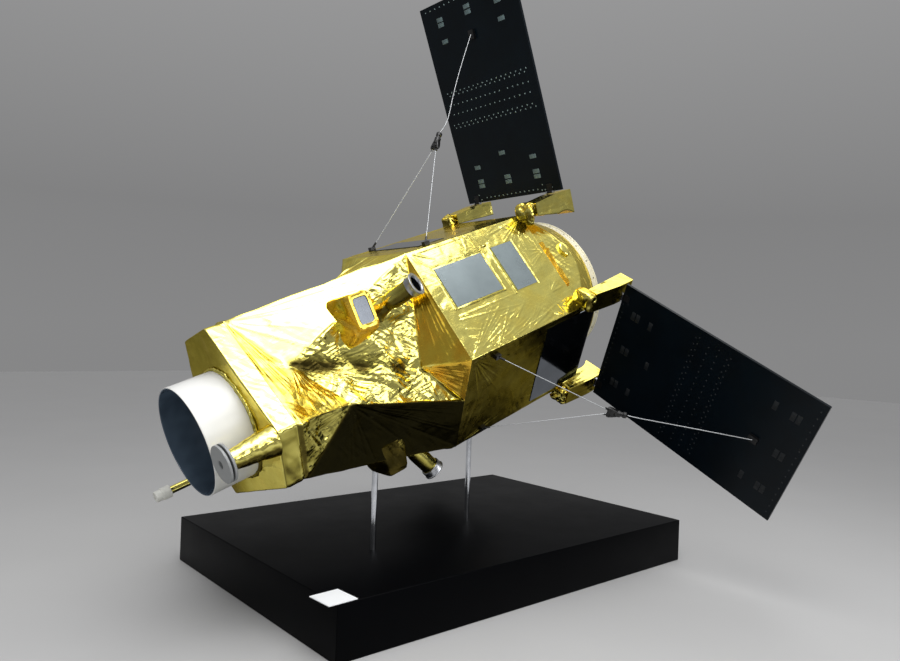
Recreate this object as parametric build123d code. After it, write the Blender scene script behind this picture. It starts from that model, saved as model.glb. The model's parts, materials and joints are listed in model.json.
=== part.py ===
"""Half-size display model of an Earth-observation satellite on its box plinth, in millimetres.

The row frame has its origin on the floor under the middle of the plinth. +X runs along the
plinth's long side towards the satellite's tail, +Y to the far side and +Z up.

The satellite has a frame of its own: X along its axis towards the tail, Z up, with the origin
in the middle of the bus's front face. A bearing is an angle about that axis, counted from the
top towards the near side (-Y). A face frame stands on a bearing: X along the axis, Y across
the face and Z straight out of it.
"""
import os
from math import asin, cos, degrees, hypot, radians, sin, sqrt

from build123d import *

# Plinth and what stands on it
PLINTH_LENGTH = 2000.0
PLINTH_DEPTH = 1350.0
PLINTH_HEIGHT = 200.0
PLINTH_EDGE_ROUND = 4.0
CARD_SIDE = 115.0
CARD_THICKNESS = 3.0
CARD_FROM_END = 20.0
CARD_FROM_SIDE = 57.0
CARD_TURN = 3.0
ROD_DIAMETER = 25.0
ROD_PLACES = [(-557.0, -234.0), (105.0, -72.0)]  # x, y on the plinth's top

# Place and attitude of the satellite over the plinth's top
BUS_X = -431.0
BUS_Y = -180.0
BUS_ABOVE_PLINTH = 807.0
NOSE_DOWN = 20.0

# Bus: six faces, the wide ones carry the radiators and the narrow ones the panels
BUS_LENGTH = 675.0
WIDE_FACE = 497.0
PANEL_FACE = 451.0
PANEL_BEARINGS = [("top", 0.0), ("near", 120.0), ("far", 240.0)]  # name, bearing
WIDE_BEARINGS = [60.0, 180.0, 300.0]  # near, under and far

# Radiators, as thin plates on the faces
RADIATOR_THICKNESS = 3.0
WIDE_RADIATORS = [(78.0, 338.0, -35.0, 145.0), (405.0, 527.0, -65.0, 150.0)]  # x from, x to, y from, y to
FRONT_PLATE = (120.0, 260.0, -165.0, 165.0)  # the same
AFT_PLATE = (450.0, 780.0, -200.0, 200.0)  # the same
PANEL_FACE_RADIATORS = [("top", FRONT_PLATE), ("near", AFT_PLATE), ("far", AFT_PLATE)]  # face, sides

# Nose block, a triangle with cut corners that is turned against the bus
NOSE_TURN = -14.0
NOSE_FRONT = 780.0
NOSE_THICKNESS = 75.0
NOSE_LONG_SIDE_OUT = 268.0
NOSE_CUT_OUT = 345.0
NOSE_CORNER_ROUND = 18.0

# Foil tent between nose and bus: bearing in one third, distance out, distance ahead of the bus
TENT_RISE = (50.0, 262.0, 593.0)
TENT_KNEE = (95.0, 300.0, 455.0)
TENT_SHOULDER = (92.0, 311.0, 118.0)
TENT_CREASE_SHARE = 0.45

# Telescope tube
BAFFLE_RADIUS = 203.5
BAFFLE_WALL = 5.0
BAFFLE_LENGTH = 172.0
COLLAR_RADIAL = 11.0
COLLAR_LENGTH = 8.0

# Horn antenna and boom on the nose
HORN_BEARING = 94.0
HORN_OUT = 315.0
HORN_LENGTH = 165.0
HORN_BASE_DIAMETER = 112.0
HORN_TIP_DIAMETER = 64.0
SPOOL_DIAMETER = 130.0
SPOOL_FLANGE = 9.0
SPOOL_GAP = 7.0
SPOOL_CORE_DIAMETER = 112.0
SPOOL_HOLE_DIAMETER = 27.0
BOOM_BEARING = 227.0
BOOM_OUT = 312.0
BOOM_DIAMETER = 29.0
BOOM_LENGTH = 210.0
CAP_DIAMETER = 48.0
CAP_LENGTH = 34.0
CAP_NECK_DIAMETER = 42.0
CAP_NECK_LENGTH = 24.0

# Sensor boxes and star trackers, one of each on every third, where the first stand plus a turn
GROUP_TURNS = [0.0, 104.0, 240.0]
SENSOR_BEARING = 77.0
SENSOR_AHEAD = 306.0
SENSOR_ACROSS = 204.0
SENSOR_LENGTH = 92.0
SENSOR_WIDTH = 134.0
SENSOR_TOP = 367.0
SENSOR_ROOT = 240.0
SENSOR_FRONT_SPREAD = 20.0
SENSOR_BACK_SPREAD = 10.0
SENSOR_UPPER_SPREAD = 10.0
SENSOR_LOWER_SPREAD = 60.0
WINDOW_LENGTH = 61.0
WINDOW_WIDTH = 99.0
WINDOW_THICKNESS = 4.0
WINDOW_CLEARANCE = 0.2
POCKET_DEPTH = 7.0
TRACKER_BEARING = 51.0
TRACKER_AHEAD = 112.0
TRACKER_OUT = 513.0
TRACKER_AIM_BEARING = 64.5
TRACKER_TILT = 62.0
TRACKER_LENGTH = 240.0
TRACKER_DIAMETER = 72.0
TRACKER_COLLAR_DIAMETER = 84.0
TRACKER_COLLAR_LENGTH = 30.0
TRACKER_RIM_DIAMETER = 90.0
TRACKER_RIM_LENGTH = 5.0
TRACKER_BORE_DIAMETER = 62.0
TRACKER_BORE_DEPTH = 60.0
CUFF_DIAMETER = 104.0
CUFF_LENGTH = 95.0

# Tail: skirt and launch ring
SKIRT_STEP = 24.0
SKIRT_CONE_RADIUS = 458.0
RING_RADIUS = 333.0
RING_WALL = 24.0
RING_LENGTH = 40.0
RING_END = 983.0

# Arms that carry the panels, deeper at the tail, and the knobs that hold them on the bus
ARM_INNER = 215.0
ARM_OUTER = 310.0
ARM_START = 695.0
ARM_END = 942.0
ARM_TOP = 472.0
ARM_TOP_START = 458.0
ARM_FLAT_LENGTH = 100.0
NOTCHED_ARM_DEPTHS = (55.0, 108.0)  # at the start, at the end
PLAIN_ARM_DEPTHS = (45.0, 68.0)  # at the start, at the end
ARM_NOTCH_RADIUS = 107.0
ARM_NOTCH_DEPTH = 22.0
ARM_NOTCH_FROM_END = 72.0
KNOB_LENGTH = 42.0
KNOB_INSET = 7.0
KNOB_TOP = 462.0
KNOB_DEPTH = 90.0

# Solar panels
PANEL_WIDTH = 620.0
PANEL_LENGTH = 957.0
PANEL_THICKNESS = 12.0
PANEL_FRONT = 883.0
PANEL_ROOT = 480.0
PANEL_LEAN = 2.7

# Hinges at the panel roots
HINGE_AHEAD_OF_PANEL = 6.0
HINGE_UNDER_ROOT = 2.0
HINGE_PLACES = [-245.0, 245.0]  # across the panel
KNUCKLE_RADIUS = 5.5
KNUCKLE_WIDTH = 30.0
PIN_RADIUS = 3.0
PIN_CLEARANCE = 0.05
LUG_WIDTH = 8.0
LUG_GAP = 0.5
LEAF_THICKNESS = 3.0
LEAF_LENGTH = 38.0

# Stays: two legs from the bus, a clamp, and one pendant to the panel
WIRE_DIAMETER = 4.0
ANCHOR_X = 140.0
ANCHOR_ACROSS = 190.0
ANCHOR_LENGTH = 26.0
ANCHOR_WIDTH = 20.0
ANCHOR_HEIGHT = 16.0
FERRULE_DIAMETER = 9.0
FERRULE_LENGTH = 20.0
CLAMP_X = 470.0
CLAMP_OUT = 790.0
CLAMP_LENGTH = 74.0
CLAMP_DIAMETER = 20.0
FITTING_OUT = 1245.0
FITTING_LENGTH = 40.0
FITTING_WIDTH = 30.0
FITTING_HEIGHT = 14.0

# Places worked out from the sizes above
PANEL_FACE_OUT = (2 * WIDE_FACE + PANEL_FACE) / (2 * sqrt(3))
WIDE_FACE_OUT = (WIDE_FACE + 2 * PANEL_FACE) / (2 * sqrt(3))
CORNER_OUT = hypot(PANEL_FACE_OUT, PANEL_FACE / 2)
CORNER_BEARING = degrees(asin(PANEL_FACE / 2 / CORNER_OUT))
HINGE_X = PANEL_FRONT - HINGE_AHEAD_OF_PANEL
HINGE_OUT = PANEL_ROOT - HINGE_UNDER_ROOT
RING_START = RING_END - RING_LENGTH
SATELLITE = Pos(BUS_X, BUS_Y, PLINTH_HEIGHT + BUS_ABOVE_PLINTH) * Rot(0, -NOSE_DOWN, 0)

os.makedirs("parts", exist_ok=True)


def save(name, *solids):
    """Write one sub-part, as one solid or as several that don't touch."""
    shape = solids[0] if len(solids) == 1 else Compound(children=list(solids))
    export_step(shape, f"parts/{name}.step")
    return shape


def on_bearing(bearing):
    """The face frame that stands on a bearing, in the satellite's frame."""
    return Rot(bearing, 0, 0)


def polar(bearing, out, x):
    """A point in the satellite's frame from its bearing, distance out and place along the axis."""
    return Vector(x, -out * sin(radians(bearing)), out * cos(radians(bearing)))


def block(x_from, x_to, y_from, y_to, z_from, z_to):
    """A box between two corners."""
    place = Pos((x_from + x_to) / 2, (y_from + y_to) / 2, (z_from + z_to) / 2)
    return place * Box(x_to - x_from, y_to - y_from, z_to - z_from)


def rectangle(x_from, x_to, y_from, y_to, z):
    """A flat rectangular face between two corners, at one height."""
    return Pos((x_from + x_to) / 2, (y_from + y_to) / 2, z) * Rectangle(x_to - x_from, y_to - y_from)


def largest(shape):
    """The biggest solid of a shape that a cut may have left in several."""
    return shape.solids().sort_by(SortBy.VOLUME)[-1]


def bar(start, end, diameter):
    """A round bar from one point to another."""
    start, end = Vector(start), Vector(end)
    run = end - start
    return Plane(origin=start, z_dir=run).location * Pos(0, 0, run.length / 2) * Cylinder(diameter / 2, run.length)


def along_axis(x_from, bearing, out, radius, length):
    """A cylinder parallel to the satellite's axis that starts at x_from and runs to the tail."""
    start = polar(bearing, out, x_from)
    return bar(start, start + Vector(length, 0, 0), 2 * radius)


def polyhedron(faces):
    """A closed solid from flat faces, each a list of points that turn the same way seen from outside."""
    return Solid(Shell([Face(Wire.make_polygon(points, close=True)) for points in faces]))


def bus_corner(index):
    """Corner of the bus's section: bearing of corners on the right (0) and left (1) of a panel face."""
    turn, side = divmod(index, 2)
    return 120.0 * turn + (CORNER_BEARING if side == 0 else 120.0 - CORNER_BEARING)


def hexagon(x):
    """The bus's section at x as a face."""
    return Face(Wire.make_polygon([polar(bus_corner(i), CORNER_OUT, x) for i in range(6)], close=True))


def nose_points(x):
    """Corners of the nose's section at x, by bearing: left and right end of each cut."""
    half_cut = (NOSE_LONG_SIDE_OUT - NOSE_CUT_OUT * cos(radians(60))) / sin(radians(60))
    spread = degrees(asin(half_cut / hypot(half_cut, NOSE_CUT_OUT)))
    out = hypot(half_cut, NOSE_CUT_OUT)
    bearings = [NOSE_TURN + 120 * i + side * spread for i in range(3) for side in (-1, 1)]
    return [polar(bearing, out, x) for bearing in bearings]


def make_tent():
    """The faceted foil body between the nose block and the bus, the same in every third."""
    front = nose_points(NOSE_THICKNESS - NOSE_FRONT)
    corners = [polar(bus_corner(i), CORNER_OUT, 0) for i in range(6)]
    faces = []
    rear = []
    for third in range(3):
        nose_right = front[2 * third + 1]
        nose_left = front[(2 * third + 2) % 6]
        next_right = front[(2 * third + 3) % 6]
        corner, far_corner = corners[2 * third], corners[2 * third + 1]
        next_corner = corners[(2 * third + 2) % 6]
        crease = far_corner + (next_corner - far_corner) * TENT_CREASE_SHARE
        rise, knee, shoulder = [
            polar(bearing + 120 * third, out, -ahead) for bearing, out, ahead in (TENT_RISE, TENT_KNEE, TENT_SHOULDER)
        ]
        faces += [
            [nose_right, rise, corner],
            [nose_right, nose_left, rise],
            [rise, nose_left, knee],
            [rise, knee, shoulder],
            [rise, shoulder, corner],
            [corner, shoulder, far_corner],
            [shoulder, crease, far_corner],
            [shoulder, knee, crease],
            [knee, next_corner, crease],
            [knee, next_right, next_corner],
            [knee, nose_left, next_right],
        ]
        rear += [corner, far_corner, crease]
    faces += [front, list(reversed(rear))]
    return polyhedron(faces)


def make_arm(inner, depths):
    """One arm with flat sides, seen from the side a bar that gets deeper towards the tail."""
    depth_start, depth_end = depths
    side = Polyline(
        (ARM_START, ARM_TOP_START - depth_start),
        (ARM_START, ARM_TOP_START),
        (ARM_END - ARM_FLAT_LENGTH, ARM_TOP),
        (ARM_END, ARM_TOP),
        (ARM_END, ARM_TOP - depth_end),
        close=True,
    )
    return Pos(0, inner, 0) * extrude(Plane.XZ * make_face(side), ARM_OUTER - ARM_INNER, dir=(0, 1, 0))


def make_leaf():
    """The moving half of a hinge about its own pin: a knuckle, and a plate against the panel's front."""
    front = PANEL_FRONT - HINGE_X
    leaf = Rot(90, 0, 0) * Cylinder(KNUCKLE_RADIUS, KNUCKLE_WIDTH)
    leaf += block(front - LEAF_THICKNESS, front, -KNUCKLE_WIDTH / 2, KNUCKLE_WIDTH / 2, 0, LEAF_LENGTH)
    return leaf - Rot(90, 0, 0) * Cylinder(PIN_RADIUS + PIN_CLEARANCE, KNUCKLE_WIDTH)


def make_bracket():
    """The fixed half of a hinge about its own pin: the pin between two lugs that stand on the arm."""
    lug_from = KNUCKLE_WIDTH / 2 + LUG_GAP
    bracket = Rot(90, 0, 0) * Cylinder(PIN_RADIUS, 2 * (lug_from + LUG_WIDTH))
    for y_from in (-lug_from - LUG_WIDTH, lug_from):
        bracket += block(-KNUCKLE_RADIUS, KNUCKLE_RADIUS, y_from, y_from + LUG_WIDTH, ARM_TOP - HINGE_OUT, 0)
        bracket += Pos(0, y_from + LUG_WIDTH / 2, 0) * Rot(90, 0, 0) * Cylinder(KNUCKLE_RADIUS, LUG_WIDTH)
    return bracket


# Satellite's body
bus = extrude(hexagon(0), BUS_LENGTH, dir=(1, 0, 0))
tent = make_tent()
nose_face = Face(Wire.make_polygon(nose_points(-NOSE_FRONT), close=True))
nose_block = extrude(nose_face, NOSE_THICKNESS, dir=(1, 0, 0))
nose_block = fillet(nose_block.edges().filter_by(Axis.X), NOSE_CORNER_ROUND)
skirt_length = RING_START - BUS_LENGTH
skirt_hexagon = extrude(offset(hexagon(BUS_LENGTH), -SKIRT_STEP, kind=Kind.INTERSECTION), skirt_length, dir=(1, 0, 0))
skirt_cone = Cone(SKIRT_CONE_RADIUS, RING_RADIUS, skirt_length, align=(Align.CENTER, Align.CENTER, Align.MIN))
skirt = skirt_hexagon & Pos(BUS_LENGTH, 0, 0) * Rot(0, 90, 0) * skirt_cone

# Telescope tube, open to the front
baffle_start = -NOSE_FRONT - BAFFLE_LENGTH
baffle = along_axis(baffle_start, 0, 0, BAFFLE_RADIUS, BAFFLE_LENGTH)
baffle -= along_axis(baffle_start, 0, 0, BAFFLE_RADIUS - BAFFLE_WALL, BAFFLE_LENGTH)
collar = along_axis(-NOSE_FRONT - COLLAR_LENGTH, 0, 0, BAFFLE_RADIUS + COLLAR_RADIAL, COLLAR_LENGTH)
collar -= along_axis(-NOSE_FRONT - COLLAR_LENGTH, 0, 0, BAFFLE_RADIUS, COLLAR_LENGTH)

# Horn antenna with its spool-shaped mouth
horn_base = polar(HORN_BEARING, HORN_OUT, -NOSE_FRONT)
horn = Plane(origin=horn_base, z_dir=(-1, 0, 0)).location * Pos(0, 0, HORN_LENGTH / 2) * Cone(
    HORN_BASE_DIAMETER / 2, HORN_TIP_DIAMETER / 2, HORN_LENGTH
)
spool_back = -NOSE_FRONT - HORN_LENGTH
spool_front = spool_back - 2 * SPOOL_FLANGE - SPOOL_GAP
spool = along_axis(spool_front, HORN_BEARING, HORN_OUT, SPOOL_DIAMETER / 2, SPOOL_FLANGE)
spool += along_axis(spool_back - SPOOL_FLANGE, HORN_BEARING, HORN_OUT, SPOOL_DIAMETER / 2, SPOOL_FLANGE)
spool += along_axis(spool_front, HORN_BEARING, HORN_OUT, SPOOL_CORE_DIAMETER / 2, spool_back - spool_front)
spool -= along_axis(spool_front, HORN_BEARING, HORN_OUT, SPOOL_HOLE_DIAMETER / 2, SPOOL_FLANGE)

# Boom antenna with its stepped cap
boom_front = -NOSE_FRONT - BOOM_LENGTH
boom = along_axis(boom_front, BOOM_BEARING, BOOM_OUT, BOOM_DIAMETER / 2, BOOM_LENGTH)
cap_front = boom_front - CAP_LENGTH - CAP_NECK_LENGTH
boom_cap = along_axis(boom_front - CAP_LENGTH, BOOM_BEARING, BOOM_OUT, CAP_DIAMETER / 2, CAP_LENGTH)
boom_cap += along_axis(cap_front, BOOM_BEARING, BOOM_OUT, CAP_NECK_DIAMETER / 2, CAP_NECK_LENGTH)

# Launch ring at the tail
ring = along_axis(RING_START, 0, 0, RING_RADIUS, RING_LENGTH)
ring -= along_axis(RING_START, 0, 0, RING_RADIUS - RING_WALL, RING_LENGTH)

placed = {
    "bus_body": bus,
    "foil_tent": tent,
    "nose_block": nose_block,
    "tail_skirt": skirt,
    "baffle_tube": baffle,
    "baffle_collar": collar,
    "horn_cone": horn,
    "horn_spool": spool,
    "boom_tube": boom,
    "boom_cap": boom_cap,
    "launch_ring": ring,
}

# Sensor boxes with a window in a pocket, and a star tracker behind each
sensors, windows, tubes, collars = [], [], [], []
for turn in GROUP_TURNS:
    face = on_bearing(SENSOR_BEARING + turn) * Pos(-SENSOR_AHEAD, SENSOR_ACROSS, 0)
    half_length, half_width = SENSOR_LENGTH / 2, SENSOR_WIDTH / 2
    top = rectangle(-half_length, half_length, -half_width, half_width, SENSOR_TOP)
    root = rectangle(
        -half_length - SENSOR_FRONT_SPREAD,
        half_length + SENSOR_BACK_SPREAD,
        -half_width - SENSOR_LOWER_SPREAD,
        half_width + SENSOR_UPPER_SPREAD,
        SENSOR_ROOT,
    )
    centre = Pos(0, 0, SENSOR_TOP)
    pocket = Pos(0, 0, -POCKET_DEPTH / 2) * Box(
        WINDOW_LENGTH + 2 * WINDOW_CLEARANCE, WINDOW_WIDTH + 2 * WINDOW_CLEARANCE, POCKET_DEPTH
    )
    window = Pos(0, 0, WINDOW_THICKNESS / 2 - POCKET_DEPTH) * Box(WINDOW_LENGTH, WINDOW_WIDTH, WINDOW_THICKNESS)
    housing = face * loft([root, top])
    sensor = housing - face * centre * pocket
    mouth = polar(TRACKER_BEARING + turn, TRACKER_OUT, -TRACKER_AHEAD)
    tilt = radians(TRACKER_TILT)
    aim = polar(TRACKER_AIM_BEARING + turn, sin(tilt), cos(tilt))
    tube_start, tube_end = mouth - aim * TRACKER_LENGTH, mouth - aim * TRACKER_COLLAR_LENGTH
    bore = bar(mouth - aim * TRACKER_BORE_DEPTH, mouth, TRACKER_BORE_DIAMETER)
    cuff = Plane(origin=tube_start, z_dir=aim).location * Pos(0, 0, CUFF_LENGTH / 2) * Cone(
        CUFF_DIAMETER / 2, TRACKER_DIAMETER / 2, CUFF_LENGTH
    )
    tube = bar(tube_start, tube_end, TRACKER_DIAMETER) + cuff - bore - tent - housing
    collar = bar(tube_end, mouth, TRACKER_COLLAR_DIAMETER)
    collar += bar(mouth - aim * TRACKER_RIM_LENGTH, mouth, TRACKER_RIM_DIAMETER)
    sensors.append(largest(sensor - tent))
    windows.append(face * centre * window)
    tubes.append(largest(tube))
    collars.append(collar - bore)
placed["sensor_boxes"] = sensors
placed["sensor_windows"] = windows
placed["tracker_tubes"] = tubes
placed["tracker_collars"] = collars

# Radiators on the wide faces and on the panel faces
placed["radiators_wide"] = [
    on_bearing(bearing) * block(*sides, WIDE_FACE_OUT, WIDE_FACE_OUT + RADIATOR_THICKNESS)
    for bearing in WIDE_BEARINGS
    for sides in WIDE_RADIATORS
]
placed["radiators_narrow"] = [
    on_bearing(dict(PANEL_BEARINGS)[face])
    * block(*sides, PANEL_FACE_OUT, PANEL_FACE_OUT + RADIATOR_THICKNESS)
    for face, sides in PANEL_FACE_RADIATORS
]

# Arms with their end knobs, and the fixed half of each hinge
arms, knobs, brackets = [], [], []
notch_top = ARM_TOP - NOTCHED_ARM_DEPTHS[1] + ARM_NOTCH_DEPTH
notch_centre = Pos(ARM_END - ARM_NOTCH_FROM_END, 0, notch_top - ARM_NOTCH_RADIUS)
notch = notch_centre * Rot(90, 0, 0) * Cylinder(ARM_NOTCH_RADIUS, 2 * ARM_OUTER)
notched_arm = make_arm(-ARM_OUTER, NOTCHED_ARM_DEPTHS) - notch
plain_arm = make_arm(ARM_INNER, PLAIN_ARM_DEPTHS)
for name, bearing in PANEL_BEARINGS:
    face = on_bearing(bearing)
    for inner, arm in ((-ARM_OUTER, notched_arm), (ARM_INNER, plain_arm)):
        arms.append(largest(face * arm - skirt))
        knob = block(
            ARM_START - KNOB_LENGTH,
            ARM_START,
            inner + KNOB_INSET,
            inner + ARM_OUTER - ARM_INNER - KNOB_INSET,
            KNOB_TOP - KNOB_DEPTH,
            KNOB_TOP,
        )
        knobs.append(largest(face * knob - bus - skirt))
    for across in HINGE_PLACES:
        brackets.append(face * Pos(HINGE_X, across, HINGE_OUT) * make_bracket())
placed["arms"] = arms
placed["arm_knobs"] = knobs
placed["hinge_brackets"] = brackets

# Panels with the moving half of their hinges, and the stays that hold them
anchors = []
for name, bearing in PANEL_BEARINGS:
    face = on_bearing(bearing)
    lean = Pos(HINGE_X, 0, HINGE_OUT) * Rot(0, -PANEL_LEAN, 0) * Pos(-HINGE_X, 0, -HINGE_OUT)
    panel_back = PANEL_FRONT + PANEL_THICKNESS
    panel_tip = PANEL_ROOT + PANEL_LENGTH
    panel = block(PANEL_FRONT, panel_back, -PANEL_WIDTH / 2, PANEL_WIDTH / 2, PANEL_ROOT, panel_tip)
    fitting_centre = Pos(PANEL_FRONT - FITTING_HEIGHT / 2, 0, FITTING_OUT)
    fitting = fitting_centre * Box(FITTING_HEIGHT, FITTING_WIDTH, FITTING_LENGTH)
    leaves = [face * lean * Pos(HINGE_X, across, HINGE_OUT) * make_leaf() for across in HINGE_PLACES]

    clamp_start = Vector(CLAMP_X, 0, CLAMP_OUT)
    fitting_point = (lean * Pos(PANEL_FRONT - FITTING_HEIGHT, 0, FITTING_OUT)).position
    clamp_end = clamp_start + (fitting_point - clamp_start).normalized() * CLAMP_LENGTH
    clamp = bar(clamp_start, clamp_end, CLAMP_DIAMETER)
    wires = [largest(bar(clamp_end, fitting_point, WIRE_DIAMETER) - lean * fitting)]
    for side in (-1, 1):
        foot = Vector(ANCHOR_X, side * ANCHOR_ACROSS, PANEL_FACE_OUT)
        eye = foot + Vector(0, 0, ANCHOR_HEIGHT / 2)
        leg_run = (clamp_start - eye).normalized()
        ferrule_end = eye + leg_run * (ANCHOR_LENGTH / 2 + FERRULE_LENGTH)
        anchor = Pos(eye) * Box(ANCHOR_LENGTH, ANCHOR_WIDTH, ANCHOR_HEIGHT)
        anchors.append(face * (anchor + bar(eye, ferrule_end, FERRULE_DIAMETER)))
        wires.append(largest(bar(ferrule_end, clamp_start, WIRE_DIAMETER) - clamp))

    placed[f"solar_panel_{name}"] = face * lean * panel
    placed[f"hinge_leaves_{name}"] = leaves
    placed[f"stay_fitting_{name}"] = face * lean * fitting
    placed[f"stay_wires_{name}"] = [face * wire for wire in wires]
    placed[f"stay_clamp_{name}"] = face * clamp
placed["stay_anchors"] = anchors

for name, shape in placed.items():
    solids = shape if isinstance(shape, list) else [shape]
    save(name, *[SATELLITE * solid for solid in solids])

# Plinth, card and rods
plinth = Pos(0, 0, PLINTH_HEIGHT / 2) * Box(PLINTH_LENGTH, PLINTH_DEPTH, PLINTH_HEIGHT)
plinth = chamfer(plinth.edges().filter_by(Axis.Z), PLINTH_EDGE_ROUND)
save("plinth", plinth)
card_x = CARD_FROM_END - PLINTH_LENGTH / 2
card_y = CARD_FROM_SIDE - PLINTH_DEPTH / 2
card_place = Pos(card_x, card_y, PLINTH_HEIGHT + CARD_THICKNESS / 2) * Rot(0, 0, CARD_TURN)
save("plinth_card", card_place * Box(CARD_SIDE, CARD_SIDE, CARD_THICKNESS))
rods = []
for x, y in ROD_PLACES:
    rod = Pos(x, y, PLINTH_HEIGHT + BUS_ABOVE_PLINTH / 2) * Cylinder(ROD_DIAMETER / 2, BUS_ABOVE_PLINTH)
    rod = rod - SATELLITE * bus - SATELLITE * tent
    rods.append(rod.solids().sort_by(Axis.Z)[0])
save("support_rods", *rods)
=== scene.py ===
"""Looks of a half-size display model of an Earth-observation satellite wrapped in gold foil.

Shapes are worked out in millimetres in the satellite's own frame: X along its axis to the tail,
Z up, origin in the middle of the bus's front face. A bearing is an angle about that axis, counted
from the top towards the near side. A face frame stands on a bearing: X along the axis, Y across
the face and Z straight out. in_room() turns satellite points into metres of the shared frame.
"""
from __future__ import annotations

import json
import logging
import math
from collections.abc import Callable
from dataclasses import dataclass, field, replace
from enum import Enum
from functools import partial

import bpy
import numpy as np
from mathutils import Matrix, Vector

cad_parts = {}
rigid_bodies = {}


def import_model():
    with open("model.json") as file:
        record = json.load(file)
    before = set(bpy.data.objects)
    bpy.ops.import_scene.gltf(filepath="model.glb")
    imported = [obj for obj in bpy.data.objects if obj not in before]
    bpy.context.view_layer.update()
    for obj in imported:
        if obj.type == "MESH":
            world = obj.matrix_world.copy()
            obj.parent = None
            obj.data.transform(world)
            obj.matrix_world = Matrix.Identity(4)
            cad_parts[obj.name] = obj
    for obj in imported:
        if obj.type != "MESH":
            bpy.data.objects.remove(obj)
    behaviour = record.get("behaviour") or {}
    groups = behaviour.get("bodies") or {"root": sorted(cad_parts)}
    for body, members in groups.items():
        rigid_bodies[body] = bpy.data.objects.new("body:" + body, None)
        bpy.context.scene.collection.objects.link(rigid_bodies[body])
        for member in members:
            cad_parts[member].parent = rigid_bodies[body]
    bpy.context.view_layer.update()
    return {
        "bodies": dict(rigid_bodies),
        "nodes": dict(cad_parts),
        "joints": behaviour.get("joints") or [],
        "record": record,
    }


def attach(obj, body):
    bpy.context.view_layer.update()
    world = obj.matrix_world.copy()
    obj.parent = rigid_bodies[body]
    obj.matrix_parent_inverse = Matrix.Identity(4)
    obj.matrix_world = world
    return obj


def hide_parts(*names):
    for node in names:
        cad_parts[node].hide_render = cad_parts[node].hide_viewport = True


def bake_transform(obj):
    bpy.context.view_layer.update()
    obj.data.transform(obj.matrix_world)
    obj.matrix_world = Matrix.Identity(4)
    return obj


LOG = logging.getLogger("satellite")
STAND = "display_stand_and_satellite"
GOLD = ("gold_foil", "gold_foil")
NOSE_DOWN = math.radians(20.0)
BUS_ORIGIN = np.array([-0.431, -0.180, 1.007])
PANEL_BEARINGS = {"top": 0.0, "near": 120.0, "far": 240.0}
WIDE_BEARINGS = (60.0, 180.0, 300.0)
WIDE_FACE, PANEL_FACE = 497.0, 451.0
PANEL_OUT = (2 * WIDE_FACE + PANEL_FACE) / (2 * math.sqrt(3))
WIDE_OUT = (WIDE_FACE + 2 * PANEL_FACE) / (2 * math.sqrt(3))
CORNER_OUT = math.hypot(PANEL_OUT, PANEL_FACE / 2)
CORNER_BEARING = math.degrees(math.asin(PANEL_FACE / 2 / CORNER_OUT))
BUS_LENGTH = 675.0
NOSE_FRONT = -780.0
NOSE_BACK = -705.0
HINGE = (877.0, 478.0)
PANEL_LEAN = math.radians(2.7)
PANEL_FRONT = 883.0
AFT, AHEAD = np.array([1.0, 0.0, 0.0]), np.array([-1.0, 0.0, 0.0])
# Millimetres in a metre; steps per millimetre and per metre in which points count as one.
MM = 1000.0
WELD, WELD_IN_ROOM = 100.0, 1e6
Triple = tuple[float, float, float]
Box = tuple[float, float, float, float]
Socket = bpy.types.NodeSocket


# Places


def in_room(points: np.ndarray) -> np.ndarray:
    """Turn satellite millimetres into metres of the shared frame.

    Formula: a turn by the nose-down angle about Y, then a shift to the bus's place over the plinth.

    Args:
        points: array (n, 3) in the satellite's frame.

    Returns:
        Array (n, 3) in metres.
    """
    x, y, z = points.T / MM
    c, s = math.cos(NOSE_DOWN), math.sin(NOSE_DOWN)
    return np.stack([x * c - z * s, y, x * s + z * c], 1) + BUS_ORIGIN


def on_bearing(points: np.ndarray, bearing: float) -> np.ndarray:
    """Carry points of a face frame into the satellite's frame, by a turn about the axis.

    Args:
        points: array (..., 3) in the face frame.
        bearing: bearing of the face in degrees.

    Returns:
        Array (..., 3) in the satellite's frame.
    """
    angle = math.radians(bearing)
    x, y, z = points[..., 0], points[..., 1], points[..., 2]
    c, s = math.cos(angle), math.sin(angle)
    return np.stack([x, y * c - z * s, y * s + z * c], -1)


def leaned(points: np.ndarray) -> np.ndarray:
    """Lean the points of an upright panel in its face frame, by a turn about its hinge line.

    Args:
        points: array (n, 3) as if the panel stood square to the axis.

    Returns:
        Array (n, 3) in the face frame.
    """
    x, z = points[:, 0] - HINGE[0], points[:, 2] - HINGE[1]
    c, s = math.cos(PANEL_LEAN), math.sin(PANEL_LEAN)
    return np.column_stack([x * c - z * s + HINGE[0], points[:, 1], x * s + z * c + HINGE[1]])


def polar(bearing: float | np.ndarray, out: float | np.ndarray, x: float | np.ndarray) -> np.ndarray:
    """A point from its bearing, distance out and place along the axis.

    Args:
        bearing: degrees from the top towards the near side.
        out: distance from the axis.
        x: place along the axis.

    Returns:
        Array (..., 3) in the satellite's frame.
    """
    angle = np.radians(bearing)
    return np.stack(np.broadcast_arrays(x, -out * np.sin(angle), out * np.cos(angle)), -1).astype(float)


def unit(vectors: np.ndarray) -> np.ndarray:
    """Vectors of length one, with the same directions."""
    return vectors / np.maximum(np.linalg.norm(vectors, axis=-1, keepdims=True), 1e-9)


def ease(value: np.ndarray, low: float, high: float) -> np.ndarray:
    """Rise smoothly from 0 at low to 1 at high, by the formula t squared times 3 minus 2 t."""
    t = np.clip((value - low) / (high - low), 0, 1)
    return t * t * (3 - 2 * t)


# Foil shapes


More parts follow.
